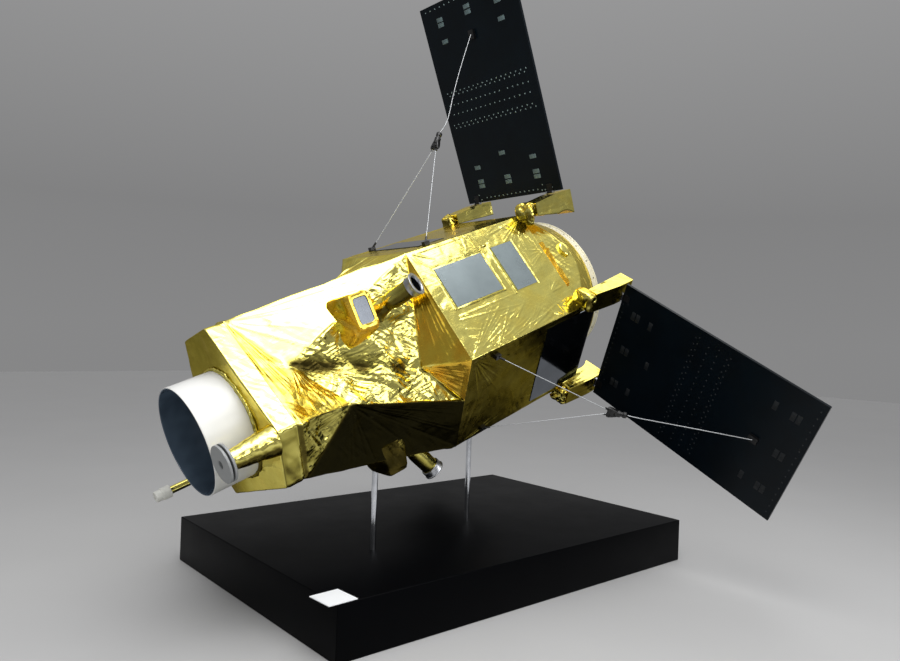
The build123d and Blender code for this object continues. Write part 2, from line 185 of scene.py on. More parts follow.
def scatter(cells: np.ndarray, salt: int) -> np.ndarray:
    """Numbers from 0 to 1 that depend only on a cell's three whole coordinates.

    Formula: each coordinate times its own large odd number, joined by exclusive or, then mixed by
    shifts and products of 32 bits.

    Args:
        cells: whole coordinates, array (n, 3).
        salt: picks one of many such patterns.

    Returns:
        Array (n,) from 0 to 1.
    """
    whole = cells.astype(np.int64)
    mixed = whole[:, 0] * 73856093 ^ whole[:, 1] * 19349663 ^ whole[:, 2] * 83492791 ^ salt * 668265263
    mixed = (mixed & 0xFFFFFFFF).astype(np.uint64)
    for shift, factor in ((16, 0x7FEB352D), (15, 0x846CA68B)):
        mixed = ((mixed ^ (mixed >> np.uint64(shift))) * np.uint64(factor)) & np.uint64(0xFFFFFFFF)
    return (mixed ^ (mixed >> np.uint64(16))) / 2.0**32


def swell(points: np.ndarray, size: float, salt: int) -> np.ndarray:
    """Smooth noise from -1 to 1.

    Formula: the scattered numbers of the eight corners of a point's cell, mixed by the eased place
    of the point in the cell.

    Args:
        points: array (n, 3) in millimetres.
        size: width of a cell.
        salt: picks the pattern.

    Returns:
        Array (n,).
    """
    place = points / size
    base = np.floor(place)
    part = place - base
    part = part * part * (3 - 2 * part)
    total = np.zeros(len(points))
    for corner in np.ndindex(2, 2, 2):
        weight = np.prod(np.where(np.array(corner), part, 1 - part), axis=1)
        total += weight * scatter(base + corner, salt)
    return 2 * total - 1


def ridges(points: np.ndarray, size: float, salt: int, count: int = 5) -> np.ndarray:
    """Height of a sheet with straight sharp creases that run in scattered directions.

    Formula: along each direction the height runs evenly between scattered numbers at steps of
    about the size. Smooth noise lets each direction come and go, and the heights add up.

    Args:
        points: array (n, 3) in millimetres.
        size: distance between creases; it also scales the height, so the slopes stay alike.
        salt: picks the pattern.
        count: number of directions.

    Returns:
        Array (n,), with slopes of about a half.
    """
    random = np.random.default_rng(salt)
    total = np.zeros(len(points))
    for k in range(count):
        direction = unit(random.normal(size=3))
        place = points @ direction / (size * (0.7 + 0.6 * random.random())) + 50 * random.random()
        cell = np.floor(place)
        part = place - cell
        low, high = (scatter(np.column_stack([cell + s, cell * 0 + k, cell * 0]), salt) for s in (0, 1))
        patch = np.clip(0.52 + 1.3 * swell(points, size * 2.4, salt + 7 * k + 3), 0.12, 1)
        total += (low * (1 - part) + high * part - 0.5) * patch
    return total * size


def crumple(points: np.ndarray, salt: int) -> np.ndarray:
    """Height of crumpled foil in millimetres, with slopes of about two thirds.

    Formula: ridges of three sizes added up, after the points were shifted by smooth noise so that
    no crease runs straight for long. The smallest come and go in patches.

    Args:
        points: array (n, 3) in millimetres.
        salt: picks the pattern.

    Returns:
        Array (n,).
    """
    shift = np.stack([swell(points, 80.0, salt + 40 + k) for k in range(3)], 1) * 16
    bent = points + shift
    patch = 0.55 * np.clip(0.6 + swell(points, 95.0, salt + 50), 0.3, 1)
    large, middle = ridges(bent, 64.0, salt), 0.85 * ridges(bent, 29.0, salt + 13)
    return large + middle + patch * ridges(bent, 16.0, salt + 29)


def crease_height(x: np.ndarray, y: np.ndarray, lines: tuple[tuple[float, ...], ...]) -> np.ndarray:
    """Height of straight creases pressed into a sheet.

    Formula: for each line, a roof whose height falls evenly to 0 at its half width, and that
    tapers towards the line's end. Lines that cross keep the higher roof.

    Args:
        x: places along the sheet.
        y: places across the sheet.
        lines: start x, start y, end x, end y, half width and height of each crease.

    Returns:
        Height at each place.
    """
    height = np.zeros(x.shape)
    for x0, y0, x1, y1, width, rise in lines:
        run = np.array([x1 - x0, y1 - y0])
        length = np.hypot(*run)
        along = np.clip(((x - x0) * run[0] + (y - y0) * run[1]) / length**2, 0, 1)
        away = np.hypot(x - x0 - along * run[0], y - y0 - along * run[1])
        taper = (1 - 0.7 * along) * ease(along * length, 0, 12)
        height = np.maximum(height, rise * np.clip(1 - away / width, 0, 1) * taper)
    return height


def fan(x: np.ndarray, y: np.ndarray, centre: tuple[float, float], turn: float, spread: float,
        reach: tuple[float, float], count: int, salt: int, width: float = 5.5) -> np.ndarray:
    """Height of creases that spread out from one pulled point of a sheet, in millimetres.

    Formula: creases at scattered angles round the centre, each a roof over its own line.

    Args:
        x: places along the sheet.
        y: places across the sheet.
        centre: the pulled point.
        turn: middle direction in degrees.
        spread: whole angle of the fan in degrees.
        reach: where the creases start and the longest ends.
        count: number of creases.
        salt: seed of the scattered angles.
        width: least half width of a crease.

    Returns:
        Height at each place.
    """
    random = np.random.default_rng(salt)
    angles = np.radians(turn + spread * (random.random(count) - 0.5))
    ends = reach[0] + (reach[1] - reach[0]) * (0.4 + 0.6 * random.random(count))
    lines = tuple(
        (centre[0] + reach[0] * math.cos(a), centre[1] + reach[0] * math.sin(a),
         centre[0] + e * math.cos(a), centre[1] + e * math.sin(a), width * (1 + 0.7 * r),
         width * (0.33 + 0.33 * r))
        for a, e, r in zip(angles, ends, random.random(count))
    )
    return crease_height(x, y, lines)


class FoilLook(Enum):
    """How a stretch of foil lies: its tone (-1 dark, 0 gold, 1 orange), crumple and fine streaks."""

    MIRROR = (0.0, 0.10, 0.25)
    TAUT = (0.05, 0.26, 0.9)
    CRUMPLED = (0.0, 0.95, 0.35)
    WARM = (0.40, 0.26, 0.5)
    # RECESS and ORANGE lean to orange: the foil's warm tint, deepened by painted reflection of gold in gold.
    RECESS = (0.58, 0.12, 0.12)
    ORANGE = (0.72, 0.28, 0.3)
    BALL = (0.36, 0.9, 0.3)
    # OLIVE and SHADED are painted shade: darker tones for foil in shade.
    OLIVE = (-0.22, 0.62, 0.12)
    SHADED = (-0.96, 0.22, 0.4)

    def over(self, count: int) -> np.ndarray:
        """The look as stored for that many points: tone from 0 to 1, crumple, streaks."""
        tone, folds, streaks = self.value
        return np.tile([0.5 + tone / 2, folds, streaks], (count, 1))


def welds(points: np.ndarray, fineness: float) -> tuple[np.ndarray, np.ndarray]:
    """Find the points that are equal once they are rounded.

    Args:
        points: array (n, 3).
        fineness: what they are multiplied by before rounding.

    Returns:
        The first of each set of equal points, and for every point the number of its set.
    """
    whole = np.round(points * fineness).astype(np.int64)
    _, first, merged = np.unique(whole, axis=0, return_index=True, return_inverse=True)
    return first, merged.reshape(-1)


@dataclass
class Surface:
    """Points with faces, and for each point its finish and its place on the unrolled sheet."""

    points: np.ndarray
    faces: list[np.ndarray]
    finish: np.ndarray
    sheet: np.ndarray

    def __add__(self, other: Surface) -> Surface:
        """Both surfaces as one; the faces of the second count from the end of the first."""
        shift = len(self.points)
        return Surface(
            np.concatenate([self.points, other.points]),
            self.faces + [f + shift for f in other.faces],
            np.concatenate([self.finish, other.finish]),
            np.concatenate([self.sheet, other.sheet]),
        )

    def moved(self, change: Callable[[np.ndarray], np.ndarray]) -> Surface:
        """The same surface with its points passed through a function."""
        return replace(self, points=change(self.points))

    def raised(self, heights: np.ndarray) -> Surface:
        """The same surface with each point lifted along its normal."""
        return replace(self, points=self.points + self.normals() * heights[:, None])

    def normals(self) -> np.ndarray:
        """Unit normals of the points.

        Formula: the cross products of two sides of every face, added up over the faces that meet
        in a point, where equal points count as one.

        Returns:
            Array (n, 3).
        """
        first, merged = welds(self.points, WELD)
        total = np.zeros((len(first), 3))
        for block in self.faces:
            corner = [self.points[block[:, k]] for k in (0, 1, -1)]
            square = np.cross(corner[1] - corner[0], corner[2] - corner[0])
            for column in merged[block].T:
                for axis in range(3):
                    total[:, axis] += np.bincount(column, square[:, axis], len(first))
        return unit(total)[merged]

    def relaxed(self, times: int, keep: np.ndarray, pace: float = 0.6, evened: int = 4) -> Surface:
        """Round off the folds.

        Formula: over and over, each point moves part of the way to the middle of its neighbours.

        Args:
            times: number of rounds.
            keep: 1 for points that stay in place, else 0, array (n,).
            pace: share of the way that a point moves in a round.
            evened: number of rounds in which the finish is evened out the same way.

        Returns:
            The rounded surface.
        """
        first, merged = welds(self.points, WELD)
        loops = [merged[block] for block in self.faces]
        pairs = [np.stack([loop, np.roll(loop, -1, axis=1)], -1).reshape(-1, 2) for loop in loops]
        sides = np.unique(np.sort(np.concatenate(pairs), axis=1), axis=0)
        here, there = np.concatenate([sides, sides[:, ::-1]]).T
        part = pace * (1 - keep[first])[:, None]
        share = part / np.bincount(here, minlength=len(first))[:, None]

        def moved_on(values: np.ndarray) -> np.ndarray:
            """Values moved part of the way to the mean of their neighbours."""
            summed = np.stack([np.bincount(here, values[there, k], len(first)) for k in range(3)], 1)
            return values * (1 - part) + share * summed

        points, finish = self.points[first], self.finish[first]
        for number in range(times):
            points = moved_on(points)
            finish = moved_on(finish) if number < evened else finish
        return replace(self, points=points[merged], finish=finish[merged])


def joined(surfaces: list[Surface]) -> Surface:
    """Several surfaces as one."""
    total = surfaces[0]
    for surface in surfaces[1:]:
        total = total + surface
    return total


def spans(points: np.ndarray, axis: int) -> np.ndarray:
    """Mean distance run along a grid's rows or columns, starting at 0."""
    steps = np.linalg.norm(np.diff(points, axis=axis), axis=-1).mean(axis=1 - axis)
    return np.concatenate([[0.0], np.cumsum(steps)])


def table(rows: np.ndarray, columns: np.ndarray) -> list[np.ndarray]:
    """Two arrays that hold the row's and the column's number for every pair of them."""
    return np.meshgrid(rows, columns, indexing="ij")


def grid(points: np.ndarray, look: FoilLook = FoilLook.MIRROR, around: bool = False,
         flip: bool = False) -> Surface:
    """A surface over a grid of points.

    Args:
        points: array (rows, columns, 3).
        look: how the foil lies on it.
        around: whether the last column joins the first.
        flip: whether the faces are turned the other way.

    Returns:
        The surface, with its sheet coordinates in metres along the rows and columns.
    """
    rows, columns = points.shape[:2]
    number = np.arange(rows * columns).reshape(rows, columns)
    if around:
        number = np.concatenate([number, number[:, :1]], 1)
    quads = np.stack([number[:-1, :-1], number[1:, :-1], number[1:, 1:], number[:-1, 1:]], -1).reshape(-1, 4)
    sheet = np.stack(table(spans(points, 0), spans(points, 1)), -1).reshape(-1, 2) / MM
    faces = [quads[:, ::-1] if flip else quads]
    return Surface(points.reshape(-1, 3), faces, look.over(rows * columns), sheet)


def cap(points: np.ndarray, look: FoilLook = FoilLook.MIRROR, flip: bool = False) -> Surface:
    """One flat face over a closed row of points."""
    face = np.arange(len(points))[None, :]
    return Surface(points, [face[:, ::-1] if flip else face], look.over(len(points)), points[:, :2] / MM)


def closed(points: np.ndarray, look: FoilLook = FoilLook.MIRROR,
           ends: tuple[bool, bool] = (True, True)) -> Surface:
    """A form over rings of points that turn left seen from its end, with flat faces as its ends.

    Args:
        points: array (rings, points, 3).
        look: how foil lies on it.
        ends: whether the first and the last ring get a face.

    Returns:
        The surface, facing outwards.
    """
    surface = grid(points, look, around=True, flip=True)
    if ends[0]:
        surface = surface + cap(points[0], look, flip=True)
    return surface + cap(points[-1], look) if ends[1] else surface


def grid_normals(points: np.ndarray) -> np.ndarray:
    """Unit normals of a grid, from the cross product of its steps along rows and columns."""
    return unit(np.cross(np.gradient(points, axis=0), np.gradient(points, axis=1)))


def stretched(start: float, end: float, step: float) -> np.ndarray:
    """Evenly spaced numbers from start to end, about one step apart."""
    return np.linspace(start, end, max(2, int(round(abs(end - start) / step)) + 1))


def between(a: np.ndarray, b: np.ndarray, count: int) -> np.ndarray:
    """Points on a straight run from a to b, both included."""
    share = np.linspace(0, 1, count)[:, None]
    return a * (1 - share) + b * share


def ruffle(points: np.ndarray, depth: float = 1.3, salt: int = 5) -> np.ndarray:
    """Move points a little in and out from the axis, alike on both sides of every fold.

    Formula: smooth noise of two sizes times the direction straight out from the axis.

    Args:
        points: array (n, 3) in millimetres.
        depth: greatest move.
        salt: picks the pattern.

    Returns:
        Array (n, 3).
    """
    out = points * [0.0, 1.0, 1.0]
    height = 0.65 * swell(points, 46.0, salt) + 0.35 * swell(points, 19.0, salt + 1)
    return points + unit(out) * (depth * height)[:, None]


def rectangle(box: Box, draw: float = 0.0) -> np.ndarray:
    """The four corners of a box given as x from, x to, y from, y to, drawn in on all sides."""
    x0, x1, y0, y1 = np.array(box) + (draw, -draw, draw, -draw)
    return np.array([(x0, y0), (x1, y0), (x1, y1), (x0, y1)])


def rounded_outline(corners: np.ndarray, radius: float, step: float) -> tuple[np.ndarray, np.ndarray]:
    """A closed outline with rounded corners.

    Formula: at each corner an arc that touches both sides, and evenly spaced points on the sides.

    Args:
        corners: array (n, 2), turning left.
        radius: radius of the arcs.
        step: distance between points on the sides.

    Returns:
        Points (m, 2) and their outward normals (m, 2).
    """
    points, normals = [], []
    before, after = np.roll(corners, 1, axis=0), np.roll(corners, -1, axis=0)
    to_here, to_next = unit(corners - before), unit(after - corners)
    bend = np.arccos(np.clip((to_here * to_next).sum(1), -1, 1))
    trim = radius * np.tan(bend / 2)
    for i in range(len(corners)):
        normal_in = np.array([to_here[i, 1], -to_here[i, 0]])
        centre = corners[i] - to_here[i] * trim[i] - normal_in * radius
        angles = math.atan2(normal_in[1], normal_in[0]) + np.linspace(0, bend[i], 5)
        arc = np.stack([np.cos(angles), np.sin(angles)], 1)
        points.append(centre + radius * arc)
        normals.append(arc)
        side_from = corners[i] + to_next[i] * trim[i]
        side_to = after[i] - to_next[i] * trim[(i + 1) % len(corners)]
        side = between(side_from, side_to, max(3, int(np.hypot(*(side_to - side_from)) / step)))[1:-1]
        points.append(side)
        normals.append(np.broadcast_to([to_next[i, 1], -to_next[i, 0]], side.shape))
    return np.concatenate(points), np.concatenate(normals)


def stations(rings: list[tuple[float, np.ndarray]]) -> np.ndarray:
    """A grid of points from outlines (up, towards the far side) at their places along the axis."""
    return np.stack([np.column_stack([np.full(len(r), x), -r[:, 1], r[:, 0]]) for x, r in rings])


def eased_edge(radius: float) -> list[tuple[float, float]]:
    """Five steps round a quarter circle from the side inwards: depth behind the face and inset."""
    return [(radius * (1 - math.sin(a)), radius * (1 - math.cos(a))) for a in np.linspace(0, math.pi / 2, 5)]


def circle(count: int, side: np.ndarray, other: np.ndarray) -> np.ndarray:
    """Directions evenly round a circle, from cosine and sine times two directions square to each other."""
    turn = np.linspace(0, 2 * math.pi, count, endpoint=False)[:, None]
    return np.cos(turn) * side[..., None, :] + np.sin(turn) * other[..., None, :]


def lathe(profile: list[tuple[float, float]], count: int, base: np.ndarray, aim: np.ndarray,
          look: FoilLook = FoilLook.MIRROR, ends: tuple[bool, bool] = (True, True)) -> Surface:
    """A turned form: a profile carried once round an axis.

    Args:
        profile: place along the axis and radius of each ring, in millimetres, outside first.
        count: points round the axis.
        base: where place 0 of the axis is, in the satellite's frame.
        aim: direction of the axis.
        look: how foil lies on it.
        ends: whether the first and the last ring get a face.

    Returns:
        The surface.
    """
    place, radius = np.array(profile, float).T
    axis = unit(np.asarray(aim, float))
    side = unit(np.cross(axis, [0.31, 0.94, 0.12]))
    ring = circle(count, side, np.cross(axis, side))
    return closed(base + place[:, None, None] * axis + radius[:, None, None] * ring, look, ends)


def tube_along(path: np.ndarray, radius: float, count: int = 10) -> Surface:
    """A round wire along a path.

    Formula: a ring square to the mean direction of the two runs at each point, closed at both ends.

    Args:
        path: array (n, 3) in millimetres.
        radius: half the wire's thickness.
        count: points round the wire.

    Returns:
        The surface.
    """
    run = unit(np.gradient(path, axis=0))
    side = unit(np.cross(run, [0.2, 0.31, 0.93]))
    return closed(path[:, None] + radius * circle(count, side, np.cross(run, side)))


def rounded_block(box: Box, low: float, high: float, edge: float) -> Surface:
    """A block with eased edges.

    Formula: rings of a rounded rectangle, drawn in by the edge's radius at the bottom and the top.

    Args:
        box: x from, x to, y from, y to.
        low: height of the bottom.
        high: height of the top.
        edge: radius of the edges.

    Returns:
        The surface.
    """
    steps = ((0.0, edge), (edge * 0.3, edge * 0.3), (edge, 0.0))
    rings = []
    for level, draw in [(low + h, d) for h, d in steps] + [(high - h, d) for h, d in steps[::-1]]:
        ring, _ = rounded_outline(rectangle(box, draw), max(edge - draw, edge * 0.2), 40.0)
        rings.append(np.column_stack([ring, np.full(len(ring), level)]))
    return closed(np.stack(rings))


# Material nodes


def math_node(operation: str, swapped: bool = False) -> Callable[..., Value]:
    """A method of Value that adds one Math node.

    Args:
        operation: what the node does.
        swapped: whether the other value comes first, as in a reflected operator.

    Returns:
        The method.
    """

    def apply(self: Value, other: Value | float = 0.0) -> Value:
        """The node's result as a new value."""
        pair = (other, self) if swapped else (self, other)
        made = self.graph.node("ShaderNodeMath", {"operation": operation}, dict(enumerate(pair)))
        return Value(self.graph, made.outputs[0])

    return apply


@dataclass
class Value:
    """A number that varies over a surface; arithmetic on it adds Math nodes."""

    graph: Graph
    socket: Socket

    __add__, __radd__ = math_node("ADD"), math_node("ADD", True)
    __sub__, __rsub__ = math_node("SUBTRACT"), math_node("SUBTRACT", True)
    __mul__, __rmul__ = math_node("MULTIPLY"), math_node("MULTIPLY", True)
    __truediv__, __lt__, __gt__ = math_node("DIVIDE"), math_node("LESS_THAN"), math_node("GREATER_THAN")
    fraction, size, larger = math_node("FRACT"), math_node("ABSOLUTE"), math_node("MAXIMUM")

    def eased(self, low: float, high: float) -> Value:
        """Rise smoothly from 0 at low to 1 at high."""
        made = self.graph.node("ShaderNodeMapRange", {"interpolation_type": "SMOOTHSTEP"},
                               {0: self, 1: low, 2: high, 3: 0.0, 4: 1.0})
        return Value(self.graph, made.outputs[0])


class Graph:
    """The node tree of a material with one Principled shader, or of the surroundings."""

    def __init__(self, name: str, kind: str = "materials") -> None:
        """Make an empty material or world.

        Args:
            name: its name.
            kind: "materials" or "worlds".
        """
        self.owner = getattr(bpy.data, kind).new(name)
        self.owner.use_nodes = True
        self.tree = self.owner.node_tree
        self.shader = self.tree.nodes["Principled BSDF" if kind == "materials" else "Background"]

    def feed(self, socket: Socket, value: object) -> None:
        """Link a socket to a Value or to another socket, or set it to a number or a colour.

        Args:
            socket: the input.
            value: what it gets; None leaves it as it is.
        """
        value = value.socket if isinstance(value, Value) else value
        if isinstance(value, Socket):
            self.tree.links.new(value, socket)
        elif value is not None:
            socket.default_value = value

    def node(self, kind: str, settings: dict | None = None, inputs: dict | None = None) -> bpy.types.Node:
        """Add a node.

        Args:
            kind: the node's type.
            settings: its properties, set first; "stops" holds a colour ramp's places and colours.
            inputs: for each socket's name or number a value, a Value or a socket.

        Returns:
            The node.
        """
        made = self.tree.nodes.new(kind)
        for key, value in (settings or {}).items():
            if key == "stops":
                ramp = made.color_ramp.elements
                while len(ramp) < len(value):
                    ramp.new(0.5)
                for stop, (place, colour) in zip(ramp, value):
                    stop.position, stop.color = place, colour
            else:
                setattr(made, key, value)
        for key, value in (inputs or {}).items():
            self.feed(made.inputs[key], value)
        return made

    def vector(self, operation: str, *values: object) -> Socket:
        """The first output of one Vector Math node on these values."""
        return self.node("ShaderNodeVectorMath", {"operation": operation}, dict(enumerate(values))).outputs[0]

    def place(self) -> Socket:
        """The point on the object in metres of the shared frame."""
        return self.node("ShaderNodeTexCoord").outputs["Object"]

    def scaled(self, place: Socket, scale: Triple,
               turn: Triple = (0.0, 0.0, 0.0)) -> Socket:
        """A place stretched and turned by a Mapping node."""
        made = self.node("ShaderNodeMapping", None, {"Vector": place, "Scale": scale, "Rotation": turn})
        return made.outputs[0]

    def bent(self, place: Socket, scale: float, depth: float) -> Socket:
        """A place shifted by smooth noise.

        Args:
            place: the place.
            scale: fineness of the noise.
            depth: greatest shift in metres.

        Returns:
            The shifted place.
        """
        noise = self.node("ShaderNodeTexNoise", None, {"Vector": place, "Scale": scale, "Detail": 1.0})
        shift = self.vector("MULTIPLY_ADD", noise.outputs["Color"], (2 * depth,) * 3, (-depth,) * 3)
        return self.vector("ADD", place, shift)

    def noise(self, place: Socket, scale: float, detail: float = 2.0,
              rough: float = 0.5) -> Value:
        """Smooth noise from 0 to 1."""
        made = self.node("ShaderNodeTexNoise", None,
                         {"Vector": place, "Scale": scale, "Detail": detail, "Roughness": rough})
        return Value(self, made.outputs["Fac"])

    def wave(self, place: Socket, length: float) -> Value:
        """A triangle wave from 0 to 1 along X; a Wave node at scale 1 repeats every tenth of pi."""
        settings = {"wave_type": "BANDS", "bands_direction": "X", "wave_profile": "TRI"}
        made = self.node("ShaderNodeTexWave", settings,
                         {"Vector": place, "Scale": math.pi / 10 / length, "Distortion": 0.0})
        return Value(self, made.outputs["Fac"])

    def mix(self, share: Value | float, first: object, second: object) -> Socket:
        """Two colours mixed by a share of the second."""
        made = self.node("ShaderNodeMix", {"data_type": "RGBA"}, {0: share, 6: first, 7: second})
        return made.outputs[2]

    def bump(self, height: Value) -> Socket:
        """The normal of a height in metres."""
        made = self.node("ShaderNodeBump", None, {"Height": height, "Distance": 1.0, "Strength": 1.0})
        return made.outputs[0]

    def finish(self, colour: object, roughness: object, normal: object = None,
               **others: object) -> bpy.types.Material:
        """Set the shader's sockets and give the material.

        Args:
            colour: base colour, a socket or four numbers.
            roughness: a Value or a number.
            normal: a socket, or None.
            others: other sockets by name, with underscores for spaces.

        Returns:
            The material.
        """
        named = {name.replace("_", " "): value for name, value in others.items()}
        for name, value in {"Base Color": colour, "Roughness": roughness, "Normal": normal, **named}.items():
            self.feed(self.shader.inputs[name], value)
        return self.owner


def rgb(red: float, green: float, blue: float) -> tuple[float, float, float, float]:
    """A colour given as it looks on a screen, made linear by the screen's power law."""
    shown = (red, green, blue)
    return tuple(((c + 0.055) / 1.055) ** 2.4 if c > 0.04045 else c / 12.92 for c in shown) + (1.0,)


def darker(colour: tuple, share: float) -> tuple[float, float, float, float]:
    """A colour times a share."""
    return tuple(c * share for c in colour[:3]) + (1.0,)


# Finishes


@dataclass(frozen=True)
class GoldFoil:
    """Metallised foil that is crinkled at several sizes and runs from dark olive over gold to orange."""

    name: str = "gold_foil"
    # The darkest stops give painted shade for the dark tones; the orange end is the foil's warm tint deepened
    # by painted reflection.
    tones: tuple = (
        (0.0, rgb(0.05, 0.06, 0.045)), (0.14, rgb(0.32, 0.28, 0.12)), (0.28, rgb(0.66, 0.62, 0.30)),
        (0.5, rgb(0.96, 0.915, 0.51)), (0.72, rgb(0.95, 0.83, 0.31)), (1.0, rgb(0.90, 0.63, 0.14)),
    )
    gloss: tuple[float, float] = (0.10, 0.24)
    folds: float = 1.0
    edge_tint: tuple = rgb(1.0, 0.94, 0.72)
    waves: tuple = (
        (0.034, 0.16, (0.4, 0.9, 0.2)), (0.023, 0.18, (1.9, 0.3, 1.1)), (0.0145, 0.16, (0.8, 2.2, 0.6)),
    )

    def material(self) -> bpy.types.Material:
        """Build the foil's nodes.

        Formula of the height: triangle waves of three lengths in scattered directions, each let in
        and out by noise, times the crumple; plus drawn streaks along the sheet.

        Returns:
            The material.
        """
        g = Graph(self.name)
        place = g.place()
        finish = g.node("ShaderNodeSeparateColor", None, {
            0: g.node("ShaderNodeAttribute", {"attribute_name": "finish"}).outputs["Color"]})
        tone, folds, streaks = (Value(g, finish.outputs[k]) for k in range(3))
        bent = g.bent(place, 14.0, 0.012)
        patches = g.noise(place, 16.0, 2.0)
        creases = None
        for number, (length, slope, turn) in enumerate(self.waves):
            here = g.noise(g.scaled(place, (1.0, 1.0, 1.0), turn), 9.0 + 5 * number, 1.0).eased(0.46, 0.62)
            wavy = g.wave(g.scaled(bent, (1.0, 1.0, 1.0), turn), length) * here * (length / 2 * slope)
            creases = wavy if creases is None else creases + wavy
        sheet = g.node("ShaderNodeUVMap", {"uv_map": "sheet"}).outputs[0]
        pulled = g.noise(g.scaled(sheet, (5.0, 80.0, 1.0)), 1.0, 3.0, 0.6)
        fine = g.noise(bent, 210.0, 2.0)
        height = creases * (folds * self.folds) + pulled * (streaks * 0.0004) + fine * 0.00004
        shown = tone * (0.78 + patches * 0.44)
        colour = g.node("ShaderNodeValToRGB", {"stops": self.tones}, {0: shown}).outputs[0]
        dull = 1.0 - tone.eased(0.06, 0.30)
        rough = self.gloss[0] + patches * (self.gloss[1] - self.gloss[0]) + dull * 0.16
        return g.finish(colour, rough, g.bump(height), Metallic=1.0 - tone.eased(0.80, 0.90) * 0.5,
                        Specular_Tint=self.edge_tint)


@dataclass(frozen=True)
class Paint:
    """Paint or moulded plastic with a fine grain and slight unevenness of tone."""

    name: str
    colour: tuple
    rough: float = 0.4
    grain: float = 900.0
    depth: float = 0.00002
    uneven: float = 0.06
    coat: float = 0.0
    metallic: float = 0.0
    specular: float = 0.5

    def material(self) -> bpy.types.Material:
        """Build the paint's nodes.

        Returns:
            The material.
        """
        g = Graph(self.name)
        place = g.place()
        grain = g.noise(place, self.grain, 2.0)
        clouds = g.noise(place, 6.0, 4.0, 0.6)
        colour = g.mix(clouds.eased(0.3, 0.7), self.colour, darker(self.colour, 1 - 2 * self.uneven))
        rough = self.rough - 0.06 + clouds * 0.12
        return g.finish(colour, rough, g.bump(grain * self.depth), Metallic=self.metallic,
                        Coat_Weight=self.coat, Coat_Roughness=0.08, Specular_IOR_Level=self.specular)


@dataclass(frozen=True)
class BrushedMetal:
    """Bare metal with fine drawn lines."""

    name: str
    colour: tuple
    rough: float = 0.25
    lines: Triple = (30.0, 900.0, 900.0)
    depth: float = 0.00002

    def material(self) -> bpy.types.Material:
        """Build the metal's nodes.

        Returns:
            The material.
        """
        g = Graph(self.name)
        place = g.place()
        drawn = g.noise(g.scaled(place, self.lines), 1.0, 2.0)
        smear = g.noise(place, 18.0, 3.0)
        rough = self.rough - 0.05 + drawn * 0.06 + smear * 0.06
        colour = g.mix(smear.eased(0.35, 0.7), self.colour, darker(self.colour, 0.8))
        return g.finish(colour, rough, g.bump(drawn * self.depth), Metallic=1.0)


@dataclass(frozen=True)
class BaffleCoat:
    """White outside and glossy slate inside, told apart by the distance from the tube's axis."""

    name: str = "baffle_coat"
    outside: tuple = rgb(0.88, 0.88, 0.87)
    inside: tuple = rgb(0.37, 0.44, 0.51)
    inner_radius: float = 0.2015

    def material(self) -> bpy.types.Material:
        """Build the coat's nodes.

        Returns:
            The material.
        """
        g = Graph(self.name)
        place = g.place()
        tilt = g.node("ShaderNodeVectorRotate", {"rotation_type": "Y_AXIS"},
                      {"Vector": place, "Center": tuple(BUS_ORIGIN), "Angle": NOSE_DOWN})
        centred = g.vector("SUBTRACT", tilt.outputs[0], tuple(BUS_ORIGIN))
        flat = g.vector("MULTIPLY", centred, (0.0, 1.0, 1.0))
        radius = g.node("ShaderNodeVectorMath", {"operation": "LENGTH"}, {0: flat}).outputs["Value"]
        outer = Value(g, radius) > self.inner_radius
        clouds = g.noise(place, 5.0, 3.0)
        white = g.mix(clouds.eased(0.3, 0.8), self.outside, rgb(0.85, 0.85, 0.83))
        slate = g.mix(clouds.eased(0.3, 0.8), self.inside, rgb(0.20, 0.24, 0.29))
        rough = 0.16 + outer * 0.22 + clouds * 0.05
        grain = g.noise(place, 700.0, 2.0)
        return g.finish(g.mix(outer, slate, white), rough, g.bump(grain * 0.00002), Coat_Weight=0.3)


@dataclass(frozen=True)
class SolarCells:
    """Dark cells in rows with thin silver fingers and pale gaps, drawn by the sheet's own metres."""

    name: str = "solar_cells"
    cell: tuple[float, float] = (0.078, 0.0383)
    blue: tuple = rgb(0.06, 0.08, 0.22)
    deep: tuple = rgb(0.03, 0.04, 0.12)
    silver: tuple = rgb(0.62, 0.64, 0.68)

    def material(self) -> bpy.types.Material:
        """Build the cells' nodes.

        Returns:
            The material.
        """
        g = Graph(self.name)
        sheet = g.node("ShaderNodeUVMap", {"uv_map": "sheet"}).outputs[0]
        parts = g.node("ShaderNodeSeparateXYZ", None, {0: sheet})
        u, v = Value(g, parts.outputs[0]), Value(g, parts.outputs[1])
        in_u, in_v = (u / self.cell[0]).fraction(), (v / self.cell[1]).fraction()
        edge_u, edge_v = (in_u - 0.5).size(), (in_v - 0.5).size()
        gap = (edge_u > 0.484).larger(edge_v > 0.47)
        thin = (in_u * 26.0).fraction() < 0.10
        broad = (edge_v - 0.22).size() < 0.022
        lines = (thin * 0.35).larger(broad * 0.75)
        clouds = g.noise(g.place(), 11.0, 3.0)
        colour = g.mix(clouds.eased(0.3, 0.7), self.blue, self.deep)
        colour = g.mix(lines, colour, self.silver)
        colour = g.mix(gap, colour, rgb(0.30, 0.27, 0.20))
        return g.finish(colour, 0.22 + gap * 0.3 + clouds * 0.05, g.bump(gap * -0.0003), Coat_Weight=0.4,
                        Coat_Roughness=0.05)


